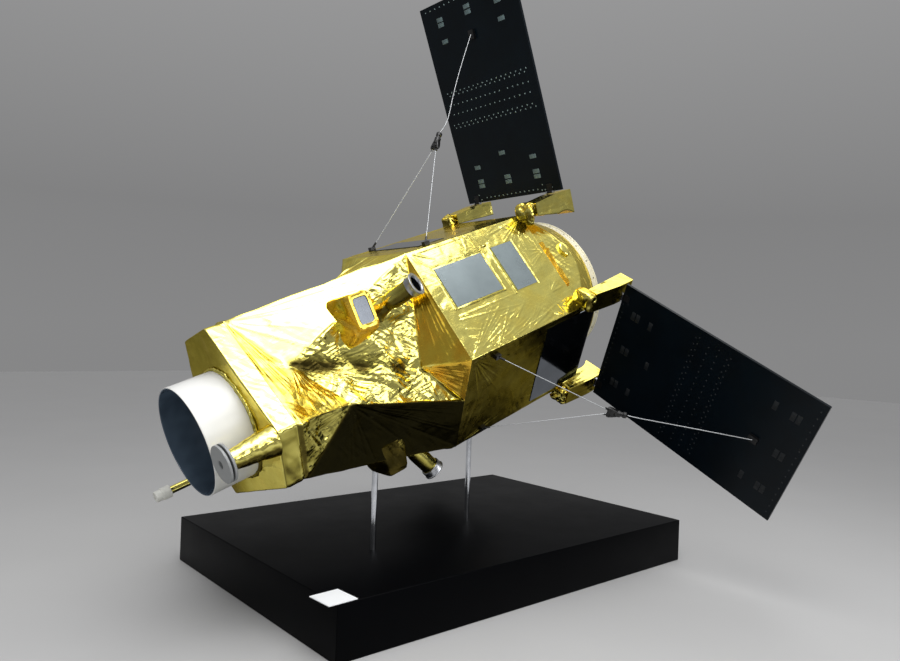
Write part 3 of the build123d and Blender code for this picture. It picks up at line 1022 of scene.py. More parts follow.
class Finishes:
    """Every finish of the model, each made once and given by its name."""

    def __init__(self) -> None:
        """Make the materials."""
        made = [
            GoldFoil(),
            BaffleCoat(),
            SolarCells(),
            GoldFoil("polished_foil", gloss=(0.08, 0.18), folds=0.4),
            Paint("white_paint", rgb(0.90, 0.90, 0.87), 0.42),
            Paint("ivory_paint", rgb(0.86, 0.84, 0.74), 0.45, uneven=0.04),
            Paint("grey_plastic", rgb(0.56, 0.57, 0.57), 0.35, uneven=0.03),
            Paint("black_plastic", rgb(0.035, 0.035, 0.04), 0.32, uneven=0.05, coat=0.1),
            Paint("radiator_grey", rgb(0.54, 0.585, 0.595), 0.26, grain=1400.0, uneven=0.10, metallic=0.5),
            Paint("dark_mirror", rgb(0.40, 0.42, 0.45), 0.09, grain=1400.0, depth=0.000006, uneven=0.10,
                  metallic=1.0),
            Paint("panel_navy", rgb(0.02, 0.055, 0.08), 0.30, uneven=0.2, specular=0.16),
            Paint("charcoal_paint", rgb(0.01, 0.012, 0.018), 0.40, grain=1100.0, depth=0.00001, uneven=0.08,
                  specular=0.04),
            Paint("card_stock", rgb(0.93, 0.94, 0.95), 0.55, uneven=0.02),
            Paint("pad_grey", rgb(0.36, 0.43, 0.44), 0.45, uneven=0.08),
            # A darker copy of pad_grey, painted shade for the near panel.
            Paint("pad_painted_shade", rgb(0.12, 0.13, 0.14), 0.45, uneven=0.08, specular=0.2),
            Paint("bright_dot", rgb(0.50, 0.57, 0.57), 0.35, uneven=0.02),
            # A darker copy of bright_dot, painted shade for the near panel.
            Paint("dot_painted_shade", rgb(0.17, 0.18, 0.19), 0.4, uneven=0.02, specular=0.2),
            Paint("dark_gap", rgb(0.02, 0.02, 0.022), 0.5, uneven=0.02),
            Paint("bore_black", rgb(0.07, 0.07, 0.08), 0.18, uneven=0.1, coat=0.5),
            Paint("dark_metal", rgb(0.16, 0.16, 0.17), 0.3, uneven=0.1, metallic=0.7),
            Paint("window_mirror", rgb(0.42, 0.44, 0.47), 0.2, uneven=0.12, metallic=0.75, coat=0.2),
            Paint("lens_glass", rgb(0.03, 0.035, 0.06), 0.05, uneven=0.05, coat=1.0),
            BrushedMetal("satin_metal", rgb(0.74, 0.75, 0.77), 0.30),
            Paint("bright_wire", rgb(0.72, 0.73, 0.74), 0.35, uneven=0.04, metallic=0.3),
            BrushedMetal("chrome_rod", rgb(0.84, 0.85, 0.87), 0.10, lines=(300.0, 300.0, 8.0)),
        ]
        self.by_name = {finish.name: finish.material() for finish in made}

    def __getitem__(self, name: str) -> bpy.types.Material:
        """The material of that name."""
        return self.by_name[name]


# Pieces


@dataclass
class Workshop:
    """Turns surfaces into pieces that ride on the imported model."""

    frame: dict
    finishes: Finishes
    made: list[str] = field(default_factory=list)

    def piece(self, name: str, surface: Surface, finish: str = "gold_foil", slot: str = "gold_foil",
              body: str | None = STAND, stands_for: tuple[str, ...] = (), sharp: float = 40.0,
              room: bool = False, shade: bool = True) -> bpy.types.Object:
        """Build one piece from a surface.

        Equal points are merged, so that seams close, and edges sharper than an angle stay sharp.

        Args:
            name: the piece's name.
            surface: its points in satellite millimetres, or in metres of the room.
            finish: name of its finish.
            slot: the record's material slot; not used.
            body: the body that it rides on, or None to leave it unattached.
            stands_for: CAD nodes that it replaces.
            sharp: angle in degrees above which an edge stays sharp.
            room: whether the points are in metres already.
            shade: whether foil that faces down gets painted shade, a darker tone.

        Returns:
            The object.
        """
        points = surface.points if room else in_room(surface.points)
        first, merged = welds(points, WELD_IN_ROOM)
        faces = [row for block in surface.faces for row in merged[block].tolist()]
        # Painted shade: foil that faces down is darkened.
        if finish == "gold_foil" and shade:
            surface = self.shaded_below(surface)
        mesh = bpy.data.meshes.new(name)
        mesh.from_pydata(points[first].tolist(), [], faces)
        corners = np.concatenate([block.reshape(-1) for block in surface.faces])
        sheet = mesh.uv_layers.new(name="sheet")
        sheet.data.foreach_set("uv", surface.sheet[corners].astype(np.float32).ravel())
        tints = np.column_stack([surface.finish[corners], np.ones(len(corners))])
        layer = mesh.attributes.new("finish", "FLOAT_COLOR", "CORNER")
        layer.data.foreach_set("color", tints.astype(np.float32).ravel())
        mesh.polygons.foreach_set("use_smooth", np.ones(len(mesh.polygons), bool))
        mesh.update()
        mesh.set_sharp_from_angle(angle=math.radians(sharp))
        mesh.materials.append(self.finishes[finish])
        made = bpy.data.objects.new(name, mesh)
        bpy.context.scene.collection.objects.link(made)
        if body:
            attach(made, body)
        if stands_for:
            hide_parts(*stands_for)
        self.made.append(name)
        LOG.info("%s: %d points, %d faces", name, len(mesh.vertices), len(mesh.polygons))
        return made

    def shaded_below(self, surface: Surface) -> Surface:
        """The same surface with painted shade: a darker, more olive tone where the foil faces down.

        Formula: the tone falls towards a dark olive as the room height of the normal falls from 0
        to -0.42, except where the foil is orange.

        Args:
            surface: a foil surface in satellite millimetres.

        Returns:
            The surface with its tones changed.
        """
        flat = replace(surface, faces=[block for block in surface.faces if block.shape[1] < 5])
        upward = (in_room(flat.normals() * MM) - BUS_ORIGIN)[:, 2]
        finish = surface.finish.copy()
        share = ease(-upward, 0.0, 0.42) * (1 - ease(finish[:, 0], 0.76, 0.84))
        finish[:, 0] += share * (np.minimum(finish[:, 0], 0.15) - finish[:, 0])
        return replace(surface, finish=finish)

    def dress(self, node: str, finish: str) -> None:
        """Give a CAD node that stays a finish.

        Args:
            node: name of the node.
            finish: name of its finish.
        """
        kept = self.frame["nodes"][node]
        if not kept.material_slots:
            kept.data.materials.append(self.finishes[finish])
        for place in kept.material_slots:
            place.material = self.finishes[finish]
        LOG.info("%s: kept from the model, dressed in %s", node, finish)


def bus_corner(index: int) -> float:
    """Bearing of a corner of the bus: even ones follow a panel face, odd ones the wide face after it."""
    turn, side = divmod(index % 6, 2)
    return 120.0 * turn + (CORNER_BEARING if side == 0 else 120.0 - CORNER_BEARING)


@dataclass
class NoseBlock:
    """The triangle with cut, rounded corners at the front, turned against the bus."""

    turn: float = -14.0
    long_side_out: float = 268.0
    cut_out: float = 345.0
    corner_round: float = 18.0
    edge: float = 6.0

    def corners(self, x: float) -> list[np.ndarray]:
        """The six corners of its section at x, right and left end of each cut in turn.

        Args:
            x: place along the axis.

        Returns:
            Six points in the satellite's frame.
        """
        c, s = math.cos(math.radians(60)), math.sin(math.radians(60))
        half_cut = (self.long_side_out - self.cut_out * c) / s
        out = math.hypot(half_cut, self.cut_out)
        spread = math.degrees(math.asin(half_cut / out))
        return [polar(self.turn + 120 * i + side * spread, out, x) for i in range(3) for side in (-1, 1)]

    def build(self, shop: Workshop) -> None:
        """Build the foil over the block: side, rounded rim and front face.

        Formula: the rounded outline carried back along the axis and drawn in towards the middle of
        the front face, with shallow streaks across the face.

        Args:
            shop: where the piece is made.
        """
        flat = np.array([(p[2], -p[1]) for p in self.corners(0.0)])
        outline, normals = rounded_outline(flat, self.corner_round, 5.0)
        back = [(NOSE_BACK, 1.0), *((x, 0.0) for x in stretched(NOSE_BACK - 1, NOSE_FRONT + self.edge, 5.0))]
        rim = [(NOSE_FRONT + behind, inset) for behind, inset in eased_edge(self.edge)[1:]]
        rings = [(x, outline - normals * inset) for x, inset in back + rim]
        inner = rings[-1][1]
        rings += [(NOSE_FRONT, inner * share) for share in np.linspace(0.985, 0.05, 52)]
        points = stations(rings)
        flat_points = points.reshape(-1, 3)
        front = ease(-flat_points[:, 0], -NOSE_FRONT - 3, -NOSE_FRONT)
        level = flat_points[:, 2]
        streak = swell(np.column_stack([level * 0, flat_points[:, 1] * 0.12, level]), 17.0, 71)
        dents = 0.05 * crumple(flat_points, 300)
        flat_points = flat_points + np.outer(front * (0.7 * streak + dents), AFT)
        pulled = flat_points.reshape(points.shape)
        skin = grid(pulled, FoilLook.TAUT, around=True)
        x = flat_points[:, 0]
        side = (1 - front) * ease(x - NOSE_FRONT, 8, 18) * ease(NOSE_BACK - x, 2, 12)
        skin = skin.raised(side * 0.06 * crumple(flat_points, 310))
        # Painted reflection: the front face is warmer towards the near side and more olive towards the far
        # side and the top.
        near = ease(-flat_points[:, 1] - 0.35 * level, -90, 170)
        skin.finish[:, 0] += front * (0.32 * near - 0.28)
        # Painted shade: the front face is darker towards the bottom.
        skin.finish[:, 0] -= front * 0.12 * ease(-level, 40, 200)
        skin.finish[:, 1] += 0.1 * side
        # Painted shade on the sides where they face down.
        skin.finish[:, 0] += (1 - front) * (shop.shaded_below(skin).finish[:, 0] - skin.finish[:, 0])
        skin = skin + cap(pulled[0]) + cap(skin.points[-len(outline):], flip=True)
        skin = skin.moved(partial(ruffle, depth=1.0))
        shop.piece("nose_skin", skin, stands_for=("nose_block",), shade=False)


@dataclass
class FoilTent:
    """The faceted foil body between the nose block and the bus, alike in every third.

    mound is the height and reach of the foil round a mount; the field after it sets painted shade: how much
    darker the fold from rise to shoulder gets, and how far that reaches.
    """

    rise: Triple = (50.0, 262.0, 593.0)
    knee: Triple = (95.0, 300.0, 455.0)
    shoulder: Triple = (92.0, 311.0, 118.0)
    crease_share: float = 0.45
    fineness: int = 112
    depth: float = 0.52
    billow: float = 2.5
    mound: tuple[float, float] = (11.0, 60.0)
    painted_fold_shade: tuple[float, float] = (0.42, 34.0)
    # In the near third the ORANGE and RECESS facets are deepened by painted warm reflection, and the SHADED
    # and OLIVE facets carry painted shade; the other thirds take plainer looks.
    looks: tuple[FoilLook, ...] = (
        FoilLook.MIRROR, FoilLook.WARM, FoilLook.WARM, FoilLook.CRUMPLED, FoilLook.CRUMPLED, FoilLook.RECESS,
        FoilLook.ORANGE, FoilLook.CRUMPLED, FoilLook.SHADED, FoilLook.SHADED, FoilLook.OLIVE,
    )
    elsewhere: tuple[FoilLook, ...] = (
        FoilLook.MIRROR, FoilLook.TAUT, FoilLook.TAUT, FoilLook.CRUMPLED, FoilLook.CRUMPLED, FoilLook.TAUT,
        FoilLook.TAUT, FoilLook.CRUMPLED, FoilLook.TAUT, FoilLook.TAUT, FoilLook.CRUMPLED,
    )

    def triangles(self, third: int, nose: NoseBlock) -> list[tuple[np.ndarray, np.ndarray, np.ndarray]]:
        """The eleven flat triangles of one third, turning the same way seen from outside.

        Args:
            third: 0, 1 or 2.
            nose: the block in front, for its corners.

        Returns:
            Three corners for each triangle.
        """
        front = nose.corners(NOSE_BACK)
        right, left, after = front[2 * third + 1], front[(2 * third + 2) % 6], front[(2 * third + 3) % 6]
        corner, far, following = (polar(bus_corner(2 * third + k), CORNER_OUT, 0.0) for k in range(3))
        crease = far + (following - far) * self.crease_share
        rise, knee, shoulder = (polar(b + 120 * third, out, -ahead) for b, out, ahead in
                                (self.rise, self.knee, self.shoulder))
        return [
            (right, rise, corner), (right, left, rise), (rise, left, knee), (rise, knee, shoulder),
            (rise, shoulder, corner), (corner, shoulder, far), (shoulder, crease, far),
            (shoulder, knee, crease), (knee, following, crease), (knee, after, following),
            (knee, left, after),
        ]

    def facet(self, corners: tuple[np.ndarray, np.ndarray, np.ndarray], look: FoilLook) -> Surface:
        """One flat triangle as an even triangular grid, with its sheet counted from the first corner.

        Args:
            corners: its three corners.
            look: how the foil lies.

        Returns:
            The surface.
        """
        n = self.fineness
        i, j = table(np.arange(n + 1), np.arange(n + 1))
        number = -np.ones((n + 2, n + 2), int)
        inside = i + j <= n
        number[:-1, :-1][inside] = np.arange(inside.sum())
        share = np.stack([n - i - j, i, j], -1)[inside] / n
        first, second, third = corners
        points = share @ np.stack(corners)
        up = number[i, j][i + j < n], number[i + 1, j][i + j < n], number[i, j + 1][i + j < n]
        down_at = i + j < n - 1
        down = number[i + 1, j][down_at], number[i + 1, j + 1][down_at], number[i, j + 1][down_at]
        faces = np.concatenate([np.stack(up, 1), np.stack(down, 1)])
        along = unit((second + third) / 2 - first)
        across = np.cross(unit(np.cross(second - first, third - first)), along)
        sheet = np.stack([(points - first) @ along, (points - first) @ across], 1) / MM
        return Surface(points, [faces], look.over(len(points)), sheet)

    def pull(self, corners: tuple[np.ndarray, np.ndarray, np.ndarray], flat: Surface, look: FoilLook,
             salt: int) -> np.ndarray:
        """Height of the creases that fan out from the first corner of a triangle.

        Args:
            corners: its three corners.
            flat: the flat triangle.
            look: how the foil lies.
            salt: seed of the creases.

        Returns:
            Height at each point, 0 at the sides.
        """
        first, second, third = corners
        area = np.linalg.norm(np.cross(second - first, third - first))
        sides = [np.linalg.norm(run) for run in (third - second, third - first, second - first)]
        inverse = np.linalg.inv(np.stack(corners))
        from_side = ((flat.points @ inverse) * area / sides).min(1)
        x, y = flat.sheet.T * MM
        spread = math.degrees(math.acos(float(unit(second - first) @ unit(third - first))))
        streaks = look.value[2]
        reach, count = (12.0, float(x.max())), int(8 + 16 * streaks)
        creases = fan(x, y, (0.0, 0.0), 0.0, spread * 0.92, reach, count, salt)
        return creases * (0.35 + 0.75 * streaks) * ease(from_side, -2, 16)

    def build(self, shop: Workshop, nose: NoseBlock, mounts: list[np.ndarray]) -> None:
        """Build the three thirds of the tent.

        Formula: flat triangles joined and rounded at their folds, then lifted along their normals
        by the fans, by crumple, by a slow billow and by soft mounds round what stands on them.

        Args:
            shop: where the pieces are made.
            nose: the block in front.
            mounts: middles of the foil mounds, in the satellite's frame.
        """
        made = [pair for third, looks in enumerate((self.looks, self.elsewhere, self.elsewhere))
                for pair in zip(self.triangles(third, nose), looks)]
        flats = [self.facet(corners, look) for corners, look in made]
        fans = np.concatenate([self.pull(corners, flat, look, 3 * k)
                               for k, ((corners, look), flat) in enumerate(zip(made, flats))])
        whole = joined(flats)
        x = whole.points[:, 0]
        keep = ((x < NOSE_BACK + 0.5) | (x > -0.5)).astype(float)
        whole = whole.relaxed(12, keep)
        p = whole.points
        rim = ease(p[:, 0] - NOSE_BACK, 0, 14) * ease(-p[:, 0], 0, 14)
        # Painted shade along the fold from rise to shoulder in every third.
        dark, width = self.painted_fold_shade
        for third in range(3):
            rise, shoulder, _ = self.triangles(third, nose)[4]
            run = shoulder - rise
            along = np.clip((p - rise) @ run / (run @ run), 0, 1)
            away = np.linalg.norm(p - rise - along[:, None] * run, axis=1)
            share = np.exp(-((away / width) ** 2)) * np.clip(0.7 + 1.8 * swell(p, 70.0, 33), 0, 1)
            whole.finish[:, 0] -= dark * share
        height = fans + self.depth * whole.finish[:, 1] * crumple(p * [0.55, 1.0, 1.0], 100)
        height += self.billow * swell(p, 170.0, 19)
        rise, reach = self.mound
        for middle in mounts:
            height += rise * np.exp(-((p - middle) ** 2).sum(1) / reach**2)
        whole = whole.raised(rim * height)
        count, size = len(self.looks), len(flats[0].points)
        for third in range(3):
            start = count * third
            picked = slice(start * size, (start + count) * size)
            blocks = [block - start * size for block in whole.faces[start:start + count]]
            piece = Surface(whole.points[picked], blocks, whole.finish[picked], whole.sheet[picked])
            shop.piece(f"tent_skin_{third + 1}", piece.moved(ruffle), stands_for=("foil_tent",), sharp=17.0)


@dataclass
class Bus:
    """The six-sided body, with foil pulled over it round the radiators."""

    edge: float = 5.0
    step: float = 2.8
    wide_radiators: tuple[Box, ...] = ((78.0, 338.0, -35.0, 145.0), (405.0, 527.0, -65.0, 150.0))
    front_plate: Box = (120.0, 260.0, -165.0, 165.0)
    aft_plate: Box = (450.0, 675.0, -200.0, 200.0)
    wide_creases: tuple[tuple[float, ...], ...] = (
        (62, -45, 64, 160, 6.2, 2.5), (36, 234, 406, 238, 5.4, 1.9), (55, -72, 392, -74, 5.4, 2.5),
        (51, -85, 371, -124, 4.6, 1.9), (51, -127, 211, -187, 5.4, 2.3), (44, -161, 216, -206, 5.4, 2.3),
        (41, -191, 154, -209, 4.6, 1.9), (117, -216, 281, -175, 5.4, 2.5), (144, -232, 367, -190, 6.2, 2.8),
        (225, -240, 375, -216, 5.4, 2.3), (309, -175, 387, -130, 5.4, 2.3), (277, -163, 360, -137, 4.6, 2.1),
        (593, 172, 586, 55, 6.2, 2.3), (628, 171, 631, 88, 5.4, 2.5), (637, 154, 638, 10, 5.4, 2.5),
        (647, 122, 641, 28, 5.4, 2.1), (239, -138, 361, -139, 5.4, 1.9), (298, -164, 383, -134, 6.2, 2.3),
        (348, -218, 524, -198, 5.4, 2.8), (368, -234, 567, -181, 6.2, 2.8), (418, -213, 599, -179, 5.4, 2.5),
        (308, -220, 435, -179, 5.4, 2.3), (452, -131, 459, -157, 4.6, 1.7), (578, 219, 654, 241, 5.4, 2.1),
        (566, 189, 649, 228, 5.4, 2.3), (591, 191, 650, 213, 5.4, 2.1), (560, 120, 570, -120, 4.6, 1.7),
    )
    wide_fans: tuple[tuple[float, ...], ...] = (
        (8, -246, 22, 36, 12, 330, 14), (150, -248, 30, 40, 8, 230, 11), (330, -247, 26, 36, 10, 200, 10),
        (560, -246, 120, 60, 10, 150, 8), (8, 246, -40, 70, 12, 120, 8), (300, 246, -60, 90, 8, 80, 8),
        (660, 240, 205, 70, 10, 230, 13), (560, -130, 40, 80, 8, 100, 8), (668, 60, 180, 70, 10, 110, 8),
    )

    def face_height(self, x: np.ndarray, across: np.ndarray, points: np.ndarray, index: int) -> np.ndarray:
        """Height of the foil over one face.

        Formula: creases pulled between corners and radiators plus crumple, both gone where a
        radiator lies and at the face's edges.

        Args:
            x: places along the axis.
            across: places across the face.
            points: the same places in the satellite's frame.
            index: 0 for the top face, then on round; odd ones are wide.

        Returns:
            Height at each place.
        """
        wide, salt = index % 2 == 1, 500 + index
        half = (WIDE_FACE if wide else PANEL_FACE) / 2
        creases = 0.65 * crease_height(x, across, self.wide_creases) if wide else np.zeros(x.shape)
        fans = [((at_x, at_y), turn, spread, (near, far), count, salt + 11 * number, 4.0)
                for number, (at_x, at_y, turn, spread, near, far, count) in enumerate(self.wide_fans)]
        ends = ((10.0, 0.0, -45.0, 300.0, 0), (665.0, 180.0, 45.0, 320.0, 3))
        corners = [((at_x, side * half), turn + lean * side, 80.0, (15.0, far), 12, salt + more + side, 3.6)
                   for at_x, turn, lean, far, more in ends for side in (-1, 1)]
        for pulled in fans if wide else corners:
            creases = np.maximum(creases, (0.7 if wide else 1.0) * fan(x, across, *pulled))
        depth = (0.03 if wide else 0.05) + 0.04 * swell(points, 150.0, 21)
        height = creases + np.clip(depth, 0.02, 1) * crumple(points, 200)
        clear = np.ones(x.shape)
        plates = self.wide_radiators if wide else (self.aft_plate if index else self.front_plate,)
        for x0, x1, y0, y1 in plates:
            away = np.maximum(np.maximum(x0 - x, x - x1), np.maximum(y0 - across, across - y1))
            clear = clear * ease(away, -2, 9)
        from_edge = np.minimum(np.minimum(x, BUS_LENGTH - x), half - np.abs(across))
        return height * clear * ease(from_edge, 3, 14)

    def build(self, shop: Workshop) -> None:
        """Build the skin over the bus and its rounded edges.

        Formula: the rounded hexagon carried along the axis and drawn in at both ends.

        Args:
            shop: where the piece is made.
        """
        corners = np.array([[p[2], -p[1]] for p in (polar(bus_corner(k), CORNER_OUT, 0.0) for k in range(6))])
        outline, normals = rounded_outline(corners, self.edge * 1.2, self.step)
        front = eased_edge(self.edge)[::-1]
        middle = [(x, 0.0) for x in stretched(self.edge + 4, BUS_LENGTH - self.edge - 4, self.step)]
        rear = [(BUS_LENGTH - x, inset) for x, inset in front[::-1]]
        rings = [(x, outline - normals * inset) for x, inset in front + middle + rear]
        rings = [(0.0, rings[0][1] * 0.9), *rings,
                 (BUS_LENGTH, rings[-1][1] * 0.97), (BUS_LENGTH, rings[-1][1] * 0.88)]
        points = stations(rings)
        flat = points.reshape(-1, 3)
        lift = np.zeros(flat.shape)
        for index in range(6):
            wide = index % 2 == 1
            bearing = WIDE_BEARINGS[index // 2] if wide else 120.0 * (index // 2)
            direction = polar(bearing, 1.0, 0.0)
            side = on_bearing(np.array([0.0, 1.0, 0.0]), bearing)
            on_face = np.abs(flat @ direction - (WIDE_OUT if wide else PANEL_OUT)) < 0.5
            picked = flat[on_face]
            lift[on_face] = np.outer(self.face_height(picked[:, 0], picked @ side, picked, index), direction)
        finish = FoilLook.TAUT.over(len(flat))
        finish[:, 1] = np.clip(0.12 + 0.3 * swell(flat, 120.0, 77), 0.04, 0.5)
        finish = finish.reshape(points.shape)
        spread = ruffle(flat + lift, depth=0.7).reshape(points.shape)
        third = points.shape[1] // 3
        for number in range(3):
            picked = np.arange(number * third, (number + 1) * third + 1) % points.shape[1]
            skin = grid(spread[:, picked], FoilLook.TAUT, flip=True)
            skin.finish = finish[:, picked].reshape(-1, 3)
            if number == 0:
                skin = skin + cap(spread[0], flip=True) + cap(spread[-1])
            shop.piece(f"bus_skin_{number + 1}", skin, stands_for=("bus_body",), sharp=22.0)
        self.tapes(shop)
        self.trim(shop)
        shop.dress("radiators_wide", "radiator_grey")
        shop.dress("radiators_narrow", "dark_mirror")

    def strip(self, run: tuple[tuple[float, float], tuple[float, float]], level: float, count: int,
              across: np.ndarray, heights: np.ndarray) -> np.ndarray:
        """Points of a strip along a straight run on a wide face, in the face frame.

        Args:
            run: x and y of both ends.
            level: height of the run over the face.
            count: points along the run.
            across: places of the strip's points across the run.
            heights: their heights.

        Returns:
            Array (count, points across, 3).
        """
        start, end = (np.array([*place, WIDE_OUT + level]) for place in run)
        over = np.cross([0.0, 0.0, 1.0], unit(end - start))
        points = between(start, end, count)[:, None] + over * across[:, None]
        points[..., 2] += heights
        return points

    def trim(self, shop: Workshop) -> None:
        """Build the crumpled ridge, the oval cover and the loose folds near the tail of the wide faces.

        Formula: a roof whose height and width waver, carried along a straight run; the cover is a
        flat turned disc stretched to an oval.

        Args:
            shop: where the pieces are made.
        """
        roofs, covers = [], []
        side = np.linspace(-1, 1, 13)
        along = np.linspace(0, 1, 90)
        ends = (ease(along, 0, 0.06) * ease(1 - along, 0, 0.06))[:, None]
        for bearing in WIDE_BEARINGS:
            place = partial(on_bearing, bearing=bearing)
            for run, width, rise, level in (
                (((694, 108), (694, -138)), 21.0, 35.0, -26.0), (((334, 243), (330, 168)), 7.0, 6.0, 0.0),
                (((334, 170), (412, 168)), 7.0, 5.0, 0.0),
            ):
                points = self.strip(run, level, 90, side * width, rise * (1 - np.abs(side)) ** 0.7 - 3)
                waver = ridges(points.reshape(-1, 3), 13.0, 911).reshape(points.shape[:2])
                points[..., 2] += (0.75 * waver * ends - (rise + 2) * (1 - ends)) * (1 - side**2)
                look = FoilLook.ORANGE if rise > 20 else FoilLook.TAUT
                roofs.append(grid(points, look).moved(place))
            dome = [(-6.0, 24.0), (0.0, 24.0), (3.0, 23.5), (4.6, 21.0), (5.4, 15.0), (5.8, 8.0), (6.0, 1.0)]
            oval = lathe(dome, 48, np.zeros(3), np.array([0.0, 0.0, 1.0]))
            oval.points = oval.points * [0.9, 1.5, 1.4] + [812.0, 34.0, WIDE_OUT - 18]
            oval.finish[:, 1:] = 0.0
            covers.append(oval.moved(place))
        shop.piece("foil_ridges", joined(roofs), sharp=26.0)
        shop.piece("oval_covers", joined(covers), "polished_foil", sharp=30.0)

    def tapes(self, shop: Workshop) -> None:
        """Lay thin foil tape round the radiators and between them.

        Formula: a low roof carried along a straight run, with a faint wobble.

        Args:
            shop: where the piece is made.
        """
        strips = []
        for bearing in WIDE_BEARINGS:
            for run, width, rise in (
                (((383, 158), (391, -76)), 9.0, 5.0), (((66, -40), (66, 152)), 7.0, 2.5),
                (((66, -44), (352, -44)), 5.0, 2.0), (((66, 156), (352, 156)), 7.0, 2.0),
                (((352, -40), (352, 152)), 6.0, 2.2), (((538, -72), (538, 158)), 6.0, 2.2),
            ):
                roof = np.array([-2.0, rise * 0.5, rise, rise * 0.5, -2.0])
                points = self.strip(run, 0.0, 40, width * np.linspace(-1, 1, 5), roof)
                points[..., 2] += 0.6 * swell(points.reshape(-1, 3), 14.0, 9).reshape(points.shape[:2])
                strips.append(grid(points, FoilLook.TAUT).moved(partial(on_bearing, bearing=bearing)))
        shop.piece("radiator_tapes", joined(strips), "polished_foil")


@dataclass
class TailSkirt:
    """Foil from the bus to the launch ring: flats that run out into a cone."""

    step_in: float = 24.0
    cone_start: float = 458.0
    cone_end: float = 333.0
    end: float = 943.0

    def radius(self, x: np.ndarray, bearing: np.ndarray) -> np.ndarray:
        """Distance out at a place: the lesser of the flats and the cone.

        Args:
            x: places along the axis.
            bearing: bearings in degrees.

        Returns:
            Distance out at each place.
        """
        far = 9e3
        flats = np.full(np.broadcast(x, bearing).shape, far)
        for k in range(3):
            for out, middle in ((PANEL_OUT, 120.0 * k), (WIDE_OUT, WIDE_BEARINGS[k])):
                lean = np.cos(np.radians(bearing - middle))
                reach = (out - self.step_in) / np.maximum(lean, 0.3)
                flats = np.minimum(flats, np.where(lean > 0.3, reach, far))
        share = (x - BUS_LENGTH) / (self.end - BUS_LENGTH)
        return np.minimum(flats, self.cone_start + (self.cone_end - self.cone_start) * share)

    def build(self, shop: Workshop) -> None:
        """Build the skirt and its closed end inside the launch ring.

        Args:
            shop: where the pieces are made.
        """
        places = stretched(BUS_LENGTH - 1, self.end, 5.0)
        bearings = np.linspace(0, 360, 480, endpoint=False)
        x, bearing = table(places, bearings)
        points = polar(bearing, self.radius(x, bearing), x)
        flat = points.reshape(-1, 3)
        out = unit(flat * [0.0, 1.0, 1.0])
        from_end = np.minimum(flat[:, 0] - BUS_LENGTH, self.end - flat[:, 0])
        streaks = 0.4 * swell(flat * [0.15, 1, 1], 16.0, 31)
        lift = ease(from_end, 0, 12) * (0.09 * crumple(flat, 400) + streaks)
        points = (flat + out * lift[:, None]).reshape(points.shape)
        last = points[-1]
        disc = np.stack([np.column_stack([np.full(len(last), self.end), last[:, 1:] * s])
                         for s in np.linspace(1, 0.04, 50)])
        flat = disc.reshape(-1, 3)
        fade = ease(np.hypot(flat[:, 1], flat[:, 2]), self.cone_end, self.cone_end - 30)
        disc = (flat + np.outer(fade * 0.3 * crumple(flat, 410), AFT)).reshape(disc.shape)
        skin = closed(points, FoilLook.TAUT, (False, False)) + closed(disc, FoilLook.CRUMPLED, (False, False))
        skin = skin + cap(points[0], flip=True) + cap(disc[-1])
        shop.piece("skirt_skin", skin, stands_for=("tail_skirt",), sharp=30.0)


@dataclass
class Telescope:
    """The open tube on the nose, the foil round its foot and the optics inside it."""

    radius: float = 203.5
    wall: float = 5.0
    length: float = 172.0

    def build(self, shop: Workshop) -> None:
        """Build tube, collar and optics.

        Formula: turned profiles about the satellite's axis; the collar's radius wavers with the
        bearing like torn foil.

        Args:
            shop: where the pieces are made.
        """
        base = np.array([NOSE_FRONT, 0.0, 0.0])
        r, w, n = self.radius, self.wall, self.length
        tube = [(0.0, r), *((d, r) for d in stretched(4, n - 4, 14.0)), (n - 1.5, r), (n - 0.4, r - 0.6),
                (n, r - 1.6), (n, r - w + 1.6), (n - 0.4, r - w + 0.6), (n - 1.5, r - w),
                *((d, r - w) for d in stretched(n - 4, 4, 14.0))]
        shop.piece("baffle_shell", lathe(tube, 144, base, AHEAD, ends=(False, False)), "baffle_coat",
                   "white_paint", stands_for=("baffle_tube",), sharp=50.0)
        profile = [(0.0, r + 11), (2.0, r + 11), (5.0, r + 9), (8.0, r + 4), (8.0, r + 0.3)]
        collar = lathe(profile, 240, base, AHEAD, FoilLook.CRUMPLED, (False, False))
        torn = collar.points
        bearing = np.arctan2(torn[:, 2], torn[:, 1])
        around = np.column_stack([np.cos(bearing), np.sin(bearing), bearing * 0]) * 200
        ragged = 1 + 0.012 * swell(around, 24.0, 81) + 0.012 * swell(around, 9.0, 82)
        collar.points = torn * np.column_stack([np.ones(len(torn)), ragged, ragged])
        collar.points[:, 0] -= 2.5 * np.clip(swell(around, 18.0, 83), 0, 1)
        shop.piece("baffle_foil_collar", collar, stands_for=("baffle_collar",))
        floor = [(0.5, r - w + 1), (6, r - w + 1), (6, 150), (14, 146), (14, 120), (9, 118), (9, 1)]
        shop.piece("telescope_floor", lathe(floor, 96, base, AHEAD), "dark_gap", "black_plastic")
        dome = [(9.0, 117.5)]
        dome += [(9.0 + 16 * math.cos(a), 117 * math.sin(a)) for a in np.linspace(1.5, 0.02, 14)]
        shop.piece("telescope_lens", lathe(dome, 96, base, AHEAD), "lens_glass", "window_glass")


